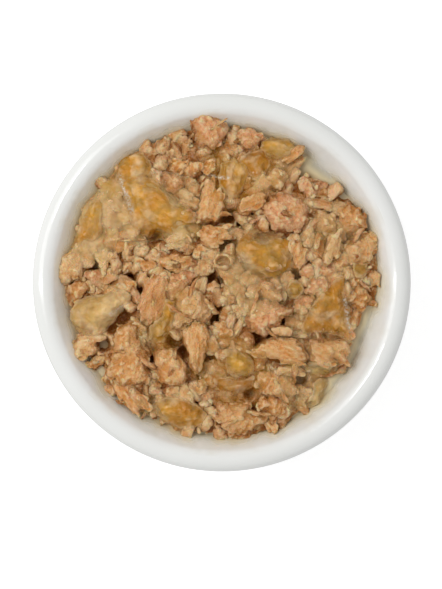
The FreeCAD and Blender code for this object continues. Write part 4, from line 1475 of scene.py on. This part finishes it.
@dataclass
class LooseFlakes:
    """The smaller flakes: the ones laid one by one, and the ones scattered between them."""

    pile: Pile
    butcher: Butcher
    material: bpy.types.Material
    morsel_fine: float = 1.1

    def morsels(self) -> bpy.types.Object:
        """Lay each smaller flake in its own place, and join them."""
        laid_down = []
        for number, morsel in enumerate(MORSELS):
            rng = random.Random(SEED * 7 + number)
            thick = min(3.6, 1.6 + morsel.width * 0.4)
            outline = torn_outline(rng, (morsel.length / 2, morsel.width / 2), 6 if morsel.length < 6 else 8)
            seed = SEED * 7 + number
            piece = self.butcher.flake(f"morsel_{number}", morsel.cut, outline, thick, seed, 0, self.morsel_fine)
            x, y = morsel.east * MM, morsel.north * MM
            ground = self.pile.ground(x, y)
            lean = (self.pile.lean(x, y) + Vector((rng.gauss(0, 0.12), rng.gauss(0, 0.12), 0))).normalized()
            Bench.settle(piece, laid(Vector((x, y, ground + 0.15 * MM)), lean, morsel.turn, (MM, MM, MM)))
            paint(piece, "tone", np.full(len(piece.data.vertices), morsel.tone.value))
            laid_down.append(piece)
        return self.finish(laid_down, "morsels")

    def moulds(self, cuts: Sequence[Cut], count: int, size: Sequence[float], fine: float, seed: int) -> list[bpy.types.Object]:
        """Model a few small flakes that the scattered ones are copied from."""
        made = []
        for number in range(count):
            rng = random.Random(seed + number)
            outline = torn_outline(rng, (size[0] / 2, size[1] / 2 * rng.uniform(0.8, 1.2)), 6)
            cut = cuts[number % len(cuts)]
            made.append(self.butcher.flake(f"mould_{seed}_{number}", cut, outline, size[2], seed + number, 0, fine))
        return made

    def scatter(
        self,
        name: str,
        moulds: Sequence[bpy.types.Object],
        count: int,
        scale: tuple[float, float],
        lift: float,
        seed: int,
        over_all: bool = False,
    ) -> bpy.types.Object:
        """Copy moulds over the heap in a golden spiral with seeded jitter, and join the copies.

        Args:
            name: the joined piece's name.
            moulds: the small flakes to copy.
            count: how many places are tried.
            scale: smallest and largest size of a copy, as a share of its mould.
            lift: how far a copy's middle lies over the heap's skin, in millimetres.
            seed: picks the jitter, turns and tones.
            over_all: whether copies also lie on the large flakes.

        Returns:
            The joined piece.
        """
        rng = random.Random(seed)
        copies = []
        for number in range(count):
            radius = math.sqrt((number + 0.5) / count) * self.pile.reach * 1.02
            angle = number * math.pi * (3 - math.sqrt(5))
            x = radius * math.cos(angle) + rng.uniform(-1, 1) * MM
            y = radius * math.sin(angle) + rng.uniform(-1, 1) * MM
            ground, _ = self.pile.drop(self.pile.heap, x, y)
            if ground is None or ground < self.pile.level + 0.5 * MM or self.pile.in_gap(x, y):
                continue
            if over_all and self.pile.drop(self.pile.gel, x, y)[0] is not None:
                continue
            if over_all:
                ground = self.pile.ground(x, y) - 1.1 * MM
            elif self.pile.ground(x, y) > ground + 1.2 * MM:
                continue
            copy = Bench.copy(rng.choice(moulds))
            size = [MM * rng.uniform(*scale) * rng.uniform(0.9, 1.1) for _ in range(3)]
            lean = (self.pile.lean(x, y) + Vector((rng.gauss(0, 0.25), rng.gauss(0, 0.25), 0))).normalized()
            copy.matrix_world = laid(Vector((x, y, ground + lift * MM)), lean, rng.uniform(0, 360), size)
            tone = rng.choice((Tone.CREAM, Tone.TAN, Tone.TAN, Tone.ORANGE, Tone.PINK)).value
            paint(copy, "tone", np.full(len(copy.data.vertices), tone + rng.uniform(-0.06, 0.06)))
            copies.append(copy)
        for mould in moulds:
            bpy.data.objects.remove(mould)
        log.info("%s: %d copies", name, len(copies))
        return self.finish(copies, name)

    def strands(self, count: int, seed: int) -> list[bpy.types.Object]:
        """Model a few thin bent shreds that the scattered ones are copied from."""
        made = []
        for number in range(count):
            rng = random.Random(seed + number)
            length, width = rng.uniform(6, 10), rng.uniform(0.9, 1.5)
            outline = torn_outline(rng, (length / 2, width / 2), 8)
            piece = self.butcher.flake(f"strand_{number}", Cut.FIBROUS, outline, 1.0, seed + number)
            points = mesh_points(piece)
            bend, rise = rng.uniform(-1.6, 1.6), rng.uniform(-0.9, 0.5)
            share = (points[:, 0] / (length / 2)) ** 2
            points[:, 1] += bend * share
            points[:, 2] += rise * share
            piece.data.vertices.foreach_set("co", points.ravel())
            made.append(piece)
        return made

    def finish(self, pieces: Sequence[bpy.types.Object], name: str) -> bpy.types.Object:
        """Join flakes into one piece and dress it."""
        piece = Bench.join(pieces, name)
        Bench.settle(piece, piece.matrix_world.copy())
        points = mesh_points(piece)
        points[:, 2] = np.minimum(points[:, 2], self.pile.top - 0.05 * MM)
        piece.data.vertices.foreach_set("co", points.ravel())
        piece.data.materials.clear()
        piece.data.materials.append(self.material)
        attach(piece, ROOT)
        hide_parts("meat_heap")
        log.info("%s: %d faces", name, len(piece.data.polygons))
        return piece

    def build(self) -> list[bpy.types.Object]:
        """Lay the smaller flakes and scatter the rest."""
        small = self.moulds((Cut.CRUMBLY, Cut.SLAB, Cut.FIBROUS, Cut.CRUMBLY), 16, (5.6, 4.0, 2.6), 1.3, 300)
        crumbs = self.moulds((Cut.CRUMBLY,), 6, (2.2, 1.8, 1.5), 1.7, 700)
        return [
            self.morsels(),
            self.scatter("small_flakes", small, 300, (0.8, 1.6), 0.1, SEED + 1),
            self.scatter("shreds", self.strands(8, 900), 110, (0.6, 1.0), 1.0, SEED + 5, True),
            self.scatter("crumbs", crumbs, 120, (0.5, 1.1), 0.5, SEED + 3),
        ]


# ------------------------------------------------------------------ jelly


@dataclass(frozen=True)
class LumpLook:
    """How one jelly lump looks: its tone, the way its crinkles run, its outline, and how much it covers."""

    tone: Gel
    grain: float = 0.0
    outline: Outline = ()
    cover: float = 0.95


LUMP_LOOKS = {
    "jelly_01": LumpLook(
        Gel.AMBER, 0,
        ((-31.3, 36.8), (-29.9, 38.7), (-26.3, 38.7), (-22.7, 37.1), (-20.7, 34.5), (-20, 32.2),
        (-21.7, 29.5), (-25, 29), (-30, 29.5), (-31.1, 33.8))
    ),
    "jelly_02": LumpLook(
        Gel.AMBER, -35,
        ((-28.8, 30.5), (-25, 30.6), (-21.7, 30.2), (-18.4, 28.2), (-15.7, 25.2), (-14.4, 22.6),
        (-10.8, 22.2), (-7.8, 19.9), (-8.8, 16.6), (-11.8, 16), (-14.8, 14), (-18.4, 14.9), (-21, 13.3),
        (-24, 14.3), (-26.3, 17), (-27, 19.9), (-28.3, 23.2), (-29, 27.2))
    ),
    "jelly_03": LumpLook(
        Gel.AMBER, 75,
        ((-41.5, 15.6), (-40.5, 19.9), (-38.5, 22.9), (-35.6, 24.2), (-34.2, 22.9), (-34.9, 18.6),
        (-35.2, 15), (-37.2, 12.3), (-39.9, 12), (-41.8, 10.5), (-43.8, 9.8), (-43.2, 12.7))
    ),
    "jelly_04": LumpLook(
        Gel.PALE, 20,
        ((-43.7, -7.7), (-41.5, -5.4), (-39.2, -4.1), (-34.9, -3.4), (-31, -2.1), (-28.3, -2.4),
        (-26.3, -3.7), (-27, -6.4), (-30, -9.4), (-31.9, -11.7), (-33.9, -14), (-36.2, -15.3), (-39.9, -15),
        (-42.5, -13.6), (-43.7, -10.3)), 0.8
    ),
    "jelly_05": LumpLook(
        Gel.OLIVE, 65,
        ((-16.4, -5.1), (-13.4, -5.7), (-13.4, -11), (-14.8, -14.3), (-16.7, -17), (-19.7, -18),
        (-20.7, -16.3), (-20.4, -13), (-17.4, -10))
    ),
    "jelly_06": LumpLook(
        Gel.AMBER, 0,
        ((-18.9, -34.8), (-15.1, -33.4), (-10.8, -34.1), (-6.8, -35.8), (-4.5, -38), (-5.5, -41), (-8, -42),
        (-12, -42), (-16, -40.5), (-18.5, -38.5))
    ),
    "jelly_07": LumpLook(
        Gel.AMBER, 0,
        ((4.4, 9.3), (5.5, 12.6), (7.7, 14.6), (10.4, 11.6), (12.9, 11.3), (15.1, 12.8), (18, 13.1),
        (19.9, 11.5), (20.4, 7.4), (19.9, 4.5), (17.3, 2.2), (15.1, 0.9), (12.5, 2.2), (10.3, 4.1),
        (8.1, 4.8), (5.9, 7))
    ),
    "jelly_08": LumpLook(
        Gel.AMBER, 90,
        ((-0.4, 34.3), (3.3, 35.6), (7, 34.3), (8.1, 31), (6.6, 28), (5.1, 25.8), (2.9, 22.5), (1.8, 25.1),
        (-0.4, 27.7), (-0.8, 31))
    ),
    "jelly_09": LumpLook(
        Gel.OLIVE, 0,
        ((11.8, 41.3), (14.3, 42.2), (18.8, 42.2), (21, 40.6), (21, 39.1), (18.8, 36.9), (15.8, 35.6),
        (13.4, 36.7), (11.6, 39.1))
    ),
    "jelly_10": LumpLook(
        Gel.DEEP, 30,
        ((4.8, 35.4), (8.1, 37.8), (12.1, 38.2), (14.3, 36.1), (14, 33.9), (12.1, 31), (9.9, 30),
        (7.7, 31.2), (5.9, 33.7))
    ),
    "jelly_11": LumpLook(
        Gel.AMBER, -60,
        ((36.1, 1.8), (35.9, -1.2), (35.4, -3.8), (36.6, -7.4), (37.7, -11.9), (38, -16.3), (37, -17),
        (33.9, -15.5), (29.1, -14.4), (24.6, -14.6), (23, -13), (24.3, -10.4), (25.4, -7.4), (28, -4.9),
        (30.9, -1.2), (32.8, 0.5))
    ),
    "jelly_12": LumpLook(
        Gel.OLIVE, 0,
        ((18.8, -1.2), (20.6, 0.9), (23.2, -0.2), (23.7, -2.3), (21.7, -4.7), (19.3, -4.9))
    ),
    "jelly_13": LumpLook(
        Gel.OLIVE, 0,
        ((0.7, -20), (4.4, -19.4), (8.4, -22.2), (9.7, -24.8), (7.7, -27.2), (4.4, -27.7), (1.6, -25.9))
    ),
    "jelly_14": LumpLook(
        Gel.DEEP, 0,
        ((-2.2, -27.7), (2.2, -27.3), (7, -27.9), (9.4, -27.3), (8.4, -30.7), (5.1, -31.8), (3.3, -33),
        (0.3, -32.7), (-1.5, -30.7))
    ),
    "jelly_15": LumpLook(
        Gel.PALE, 0,
        ((25.2, -23.3), (31.7, -23.3), (31.5, -25.9), (27.6, -27), (24.8, -25.5))
    ),
    "jelly_16": LumpLook(
        Gel.PALE, 75,
        ((26.9, -29), (30.9, -27.9), (30.7, -30.3), (28.9, -32.5), (27.8, -35.8), (25.4, -36.7),
        (24.3, -35.6), (26.1, -32.7))
    ),
    "jelly_17": LumpLook(
        Gel.OLIVE, 0,
        ((38.1, 5.9), (42, 5.4), (42.4, 3), (40.5, 1.3), (38, 3.2))
    ),
}


# Thin sheets of jelly over the flakes round some lumps: the outline is in millimetres from the dish's middle.
DRAPES = {
    "jelly_01": LumpLook(
        Gel.PALE, 60,
        ((-46, 9), (-44, 19), (-38, 26), (-33, 25), (-30, 15), (-31, 8), (-35, 4), (-40, 7), (-43, 4)), 0.55
    ),
    "jelly_02": LumpLook(
        Gel.PALE, -40,
        ((-39, 24), (-36, 32), (-33, 38), (-25, 38), (-20, 33), (-16, 26), (-10, 22), (-6, 14), (-12, 9), (-18, 13),
        (-25, 11), (-31, 14), (-35, 18)), 0.6
    ),
    "jelly_03": LumpLook(
        Gel.AMBER, 80,
        ((-6, 38), (-4, 30), (-3, 24), (3, 20), (9, 22), (17, 27), (22, 36), (20, 42), (12, 40), (5, 37), (-1, 41)), 0.4
    ),
    "jelly_07": LumpLook(
        Gel.PALE, 20,
        ((0, 15), (-2, 6), (1, -2), (4, -8), (10, -10), (17, -7), (22, 0), (21, 8), (17, 14), (8, 16)), 0.35
    ),
    "jelly_10": LumpLook(
        Gel.AMBER, -20,
        ((-6, -17), (4, -14), (12, -19), (14, -27), (11, -35), (3, -37), (-4, -33), (-10, -26)), 0.35
    ),
    "jelly_11": LumpLook(
        Gel.PALE, -60,
        ((16, -10), (24, -3), (31, 3), (37, 5), (38, -4), (39, -13), (35, -20), (30, -27), (22, -25), (18, -18)), 0.15
    ),
    "jelly_05": LumpLook(
        Gel.OLIVE, 65,
        ((-24, -8), (-18, 1), (-11, 0), (-7, -6), (-10, -14), (-15, -22), (-21, -20), (-25, -14)), 0.3
    ),
    "jelly_13": LumpLook(
        Gel.PALE, 30,
        ((18, -22), (26, -24), (34, -22), (33, -30), (28, -37), (21, -38), (15, -31)), 0.35
    ),
    "jelly_08": LumpLook(
        Gel.PALE, 0,
        ((-24, -33), (-14, -32), (-7, -36), (-6, -42), (-14, -44), (-24, -41)), 0.4
    ),
    "jelly_12": LumpLook(
        Gel.PALE, 0,
        ((22, 12), (28, 20), (36, 20), (42, 13), (42, 5), (36, 4), (29, 8)), 0.22
    ),
    "jelly_15": LumpLook(
        Gel.PALE, 0,
        ((-8, 12), (-2, 22), (-8, 30), (-16, 32), (-19, 26), (-14, 18)), 0.22
    ),
}

# Lines along which the jelly's skin is crinkled, where a glint is painted and the jelly is made less clear: both ends
# in millimetres from the dish's middle, and half the width.
CRINKLE_GLINTS = (
    (-29.5, 31, -28, 26, 1.0),
    (-28, 26, -26, 20.5, 1.2),
    (35.5, -5, 37.5, -15, 0.9),
    (-32, -9, -26, -6, 0.9),
    (-4, 31, 2, 30, 0.7),
)


@dataclass
class JellyLumps:
    """The jelly: thin sheets first, then the lumps round the places that their CAD nodes hold."""

    pile: Pile
    material: bpy.types.Material
    under: Sequence[bpy.types.Object]
    voxel: float = 0.32
    depth: float = 1.0
    rim_width: float = 0.6
    edge_width: float = 2.6

    def build(self) -> list[bpy.types.Object]:
        """Model, drape and dress every sheet and lump."""
        lumps = self.pile.surface([name for name in frame["nodes"] if name.startswith("jelly_")])
        reach, floor = self.pile.reach * 1.1, self.pile.level - MM
        relief = Relief(((surface_of(self.under), 0.0), (lumps, -1.2 * MM)), reach, floor)
        relief.soften(3)
        sheets = [
            self.sheet(f"{node}_drape", node, look, number + 40, Vector((0, 0, 0)), relief, 0.35, look.cover)
            for number, (node, look) in enumerate(DRAPES.items())
        ]
        relief.soften(4)
        for number, (node, look) in enumerate(LUMP_LOOKS.items()):
            low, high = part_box(node)
            sheets.append(self.sheet(f"{node}_gel", node, look, number, (low + high) / 2, relief, 1.3, look.cover))
        return sheets

    def sheet(
        self,
        name: str,
        node: str,
        look: LumpLook,
        number: int,
        middle: Vector,
        relief: Relief,
        film: float,
        cover: float,
    ) -> bpy.types.Object:
        """Model one sheet or lump.

        Args:
            name: the piece's name.
            node: the CAD node that it stands for.
            look: its tone, grain and outline.
            number: its place in the list, which seeds it.
            middle: the place that its outline is about.
            relief: the heights that it is draped over.
            film: how far its middle stands over them, in millimetres.
            cover: how much of what lies under it its middle hides.

        Returns:
            The finished piece.
        """
        rng = random.Random(SEED * 3 + number)
        outline = resized(about(look.outline, middle), 1.06)
        piece = weld_parts(name, (), (Layer(tear(rng, outline, 0.3, 2.2), -0.5, 0.5, 0.98),), self.voxel)
        Bench.modify(piece, "SMOOTH", factor=0.5, iterations=3)
        points = mesh_points(piece)
        inwards = edge_distance(outline, points)
        over = (points[:, 2] + 0.5).clip(0, 1)
        thick = film * (0.15 + 0.85 * (inwards / self.edge_width).clip(0, 1) ** 0.7)
        thick += 0.35 * np.exp(-(((inwards - 0.5) / 0.4) ** 2))
        spot = points * MM + np.array([middle.x, middle.y, 0])
        points[:, 2] = relief.at(spot) / MM - self.depth + over * (self.depth + thick)
        piece.data.vertices.foreach_set("co", points.ravel())
        turn = math.radians(look.grain)
        Bench.settle(piece, Matrix.Rotation(-turn, 4, "Z"))
        Bench.roughen(piece, Bench.noise("gel_folds", "CLOUDS", 2.8, 1), 1.5 * film, rng, 1.5)
        Bench.roughen(piece, Bench.noise("gel_crinkles", "CLOUDS", 0.9, 1), 0.6, rng, 1.8)
        Bench.settle(piece, Matrix.Rotation(turn, 4, "Z"))
        # Painted glint: how near each point lies to a crinkle line, which the material paints near-white.
        near = np.zeros(len(points))
        for east, north, far_east, far_north, width in CRINKLE_GLINTS:
            line = ((east - middle.x / MM, north - middle.y / MM), (far_east - middle.x / MM, far_north - middle.y / MM))
            near = np.maximum(near, (1 - edge_distance(line, points) / width).clip(0, 1))
        paint(piece, "crinkle", near)
        paint(piece, "rim", (1 - inwards / self.rim_width).clip(0, 1))
        paint(piece, "cover", cover * (0.45 + 0.55 * (inwards / self.edge_width).clip(0, 1)))
        paint_ridges(piece, 8, 2.4)
        Bench.settle(piece, Matrix.Translation((middle.x, middle.y, 0)) @ Matrix.Diagonal((MM, MM, MM, 1.0)))
        points = mesh_points(piece)
        points[:, 2] = np.minimum(points[:, 2], self.pile.top - 0.05 * MM)
        piece.data.vertices.foreach_set("co", points.ravel())
        bpy.ops.object.shade_smooth()
        dress(piece, self.material, look.tone, node)
        log.info("%s: %s, %d faces", piece.name, look.tone.name.lower(), len(piece.data.polygons))
        return piece


# ------------------------------------------------------------------ broth and dish


@dataclass
class Broth:
    """The broth round the heap, which wets the dish's wall a little above its level."""

    pile: Pile
    material: bpy.types.Material
    food: Sequence[bpy.types.Object]
    inner: float = 0.5
    wet_edge: float = 5.5
    film: float = 0.14
    into_wall: float = 0.25
    around: int = 180
    across: int = 44

    def build(self) -> bpy.types.Object:
        """Turn the broth's section round the dish's axis."""
        section = self.section()
        Bench.deselect()
        bpy.ops.mesh.primitive_circle_add(vertices=len(section), radius=0.01, fill_type="NOTHING")
        piece = bpy.context.view_layer.objects.active
        piece.name = "broth_liquid"
        piece.data.vertices.foreach_set("co", [number for radius, height in section for number in (radius, 0, height)])
        bpy.ops.object.mode_set(mode="EDIT")
        bpy.ops.mesh.select_all(action="SELECT")
        bpy.ops.mesh.spin(steps=self.around, angle=math.tau, center=(0, 0, 0), axis=(0, 0, 1))
        bpy.ops.mesh.select_all(action="SELECT")
        bpy.ops.mesh.remove_doubles(threshold=0.002 * MM)
        bpy.ops.mesh.normals_make_consistent(inside=False)
        bpy.ops.object.mode_set(mode="OBJECT")
        points = mesh_points(piece)
        relief = Relief(((surface_of(self.food), 0.0),), self.pile.reach * 1.1, 0.0, 0.0008)
        # The "depth" painted here also carries the painted shadow and painted reflection beside the food.
        paint(piece, "depth", self.depth_and_painted_shadow(points, relief))
        piece.data.materials.append(self.material)
        Bench.pick(piece)
        bpy.ops.object.shade_smooth_by_angle(angle=math.radians(40))
        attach(piece, ROOT)
        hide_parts("broth")
        log.info("%s: %d faces", piece.name, len(piece.data.polygons))
        return piece

    def wall(self, radius: float) -> float:
        """Height of the dish's inside at a radius."""
        return self.pile.drop(self.pile.dish, radius, 0.0)[0] or 0.0

    def section(self) -> list[tuple[float, float]]:
        """Radius and height round the broth's section: out along its top, and back inside the wall."""
        start, end = self.pile.reach * self.inner, self.pile.reach + self.wet_edge * MM
        radii = [start + (end - start) * number / self.across for number in range(self.across + 1)]
        top = [(radius, max(self.pile.level, self.wall(radius) + self.film * MM)) for radius in radii]
        under = [(radius, self.wall(radius) - self.into_wall * MM) for radius in reversed(radii)]
        return top + under

    def depth_and_painted_shadow(self, points: np.ndarray, relief: Relief) -> np.ndarray:
        """How dark the broth looks at each point: real depth in from the wall, plus a painted shadow and painted
        reflection beside the food; most beside the food, none at the wet edge.
        """
        rows, columns = np.nonzero(relief.heights > self.pile.level)
        food = np.stack([columns, rows], axis=1) * relief.step - relief.reach
        away = np.array([np.hypot(*(food - point[:2]).T).min() for point in points])
        inwards = self.pile.reach - np.hypot(points[:, 0], points[:, 1])
        wall = (inwards / (6 * MM)).clip(0, 1)
        fade = ((inwards + self.wet_edge * MM) / (self.wet_edge * MM)).clip(0, 1) ** 1.6
        # The term beside the food is painted shadow and painted reflection; the wall term stands for real depth.
        return ((0.6 * np.exp(-away / (2.6 * MM)) + 0.4 * wall) * fade).clip(0, 1)


@dataclass
class Dish:
    """The glazed dish, which keeps its CAD form."""

    finish: PorcelainFinish

    def build(self) -> None:
        """Give the CAD node its glaze."""
        node = frame["nodes"]["dish"]
        node.data.materials.clear()
        node.data.materials.append(self.finish.make())
        log.info("dish: glazed, %d faces", len(node.data.polygons))


# ------------------------------------------------------------------ studio


@dataclass
class Studio:
    """A white table, soft daylight from the left and a camera straight above."""

    pile: Pile
    view_height: float = 0.60
    frame_height: float = 0.1714
    aim: tuple[float, float] = (-0.0002, -0.0035)
    key_power: float = 2.3
    glint_power: float = 0.8
    fill: float = 0.585

    def build(self) -> None:
        """Set the table, the world, the lamps and the camera."""
        self.table()
        self.world()
        self.lamps()
        self.camera()
        bpy.context.scene.view_settings.view_transform = "Standard"

    def table(self) -> None:
        """A large white table that keeps a soft shadow under the dish."""
        Bench.deselect()
        bpy.ops.mesh.primitive_plane_add(size=4, location=(0, 0, -0.00002))
        table = bpy.context.view_layer.objects.active
        table.name = "table"
        Bench.settle(table, table.matrix_world.copy())
        graph = Graph("white_table")
        matt = graph.node("ShaderNodeBsdfDiffuse")
        graph.feed(matt, "Color", colour(0.9, 0.9, 0.9))
        glow = graph.node("ShaderNodeEmission")
        graph.feed(glow, "Color", colour(1, 1, 1))
        graph.feed(glow, "Strength", graph.maths("MULTIPLY", graph.node("ShaderNodeLightPath").outputs["Is Camera Ray"], 0.5))
        both = graph.node("ShaderNodeAddShader")
        graph.feed(both, 0, matt.outputs[0])
        graph.feed(both, 1, glow.outputs[0])
        table.data.materials.append(graph.finish(both.outputs[0]))
        table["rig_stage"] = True

    def world(self) -> None:
        """Even daylight, which shows as plain white to the camera and in reflections."""
        world = bpy.data.worlds.new("daylight")
        bpy.context.scene.world = world
        world.use_nodes = True
        tree = world.node_tree
        background = tree.nodes["Background"]
        background.inputs["Color"].default_value = colour(1, 1, 1)
        path = tree.nodes.new("ShaderNodeLightPath")
        seen = tree.nodes.new("ShaderNodeMath")
        seen.operation = "MAXIMUM"
        through = tree.nodes.new("ShaderNodeMath")
        through.operation = "MAXIMUM"
        strength = tree.nodes.new("ShaderNodeMapRange")
        strength.inputs[3].default_value = self.fill
        strength.inputs[4].default_value = 1.0
        tree.links.new(path.outputs["Is Camera Ray"], seen.inputs[0])
        tree.links.new(path.outputs["Is Glossy Ray"], seen.inputs[1])
        tree.links.new(seen.outputs[0], through.inputs[0])
        tree.links.new(path.outputs["Is Transmission Ray"], through.inputs[1])
        tree.links.new(through.outputs[0], strength.inputs[0])
        tree.links.new(strength.outputs[0], background.inputs["Strength"])

    def lamp(self, name: str, place: Sequence[float], size: tuple[float, float], power: float) -> None:
        """A rectangular soft lamp that points at the dish."""
        lamp = bpy.data.lights.new(name, "AREA")
        lamp.shape = "RECTANGLE"
        lamp.size, lamp.size_y = size
        lamp.energy = power
        holder = bpy.data.objects.new(name, lamp)
        bpy.context.scene.collection.objects.link(holder)
        holder.location = place
        holder.rotation_euler = (-Vector(place)).to_track_quat("-Z", "Y").to_euler()

    def lamps(self) -> None:
        """A large key lamp on the left and a narrow one that draws a line along the lip."""
        self.lamp("key", (-0.55, 0.25, 0.75), (0.6, 0.6), self.key_power)
        self.lamp("glint", (-0.40, 0.24, 0.80), (0.14, 0.14), self.glint_power)
        self.lamp("line", (-0.50, 0.0, 0.66), (0.03, 0.5), 0.5)

    def camera(self) -> None:
        """Look straight down, with the whole dish in view."""
        camera = bpy.data.cameras.new("camera")
        camera.sensor_width = 36
        camera.lens = 36 * (self.view_height - self.pile.rim * 0.89) / self.frame_height
        camera.clip_start = 0.01
        holder = bpy.data.objects.new("camera", camera)
        bpy.context.scene.collection.objects.link(holder)
        holder.location = (*self.aim, self.view_height)
        bpy.context.scene.camera = holder


def main() -> None:
    """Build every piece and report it."""
    logging.basicConfig(level=logging.INFO, format="%(name)s: %(message)s")
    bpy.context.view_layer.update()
    pile = Pile()
    meat = MeatFinish().make()
    butcher = Butcher()
    Dish(PorcelainFinish()).build()
    core = HeapCore(pile, MeatFinish(name="packed_meat", roughness=0.36).make()).build()
    food = [core, *LargeFlakes(pile, butcher, meat).build(), *LooseFlakes(pile, butcher, meat).build()]
    food += JellyLumps(pile, JellyFinish().make(), food).build()
    Broth(pile, BrothFinish().make(), food).build()
    Studio(pile).build()


if __name__ == "__main__":
    main()
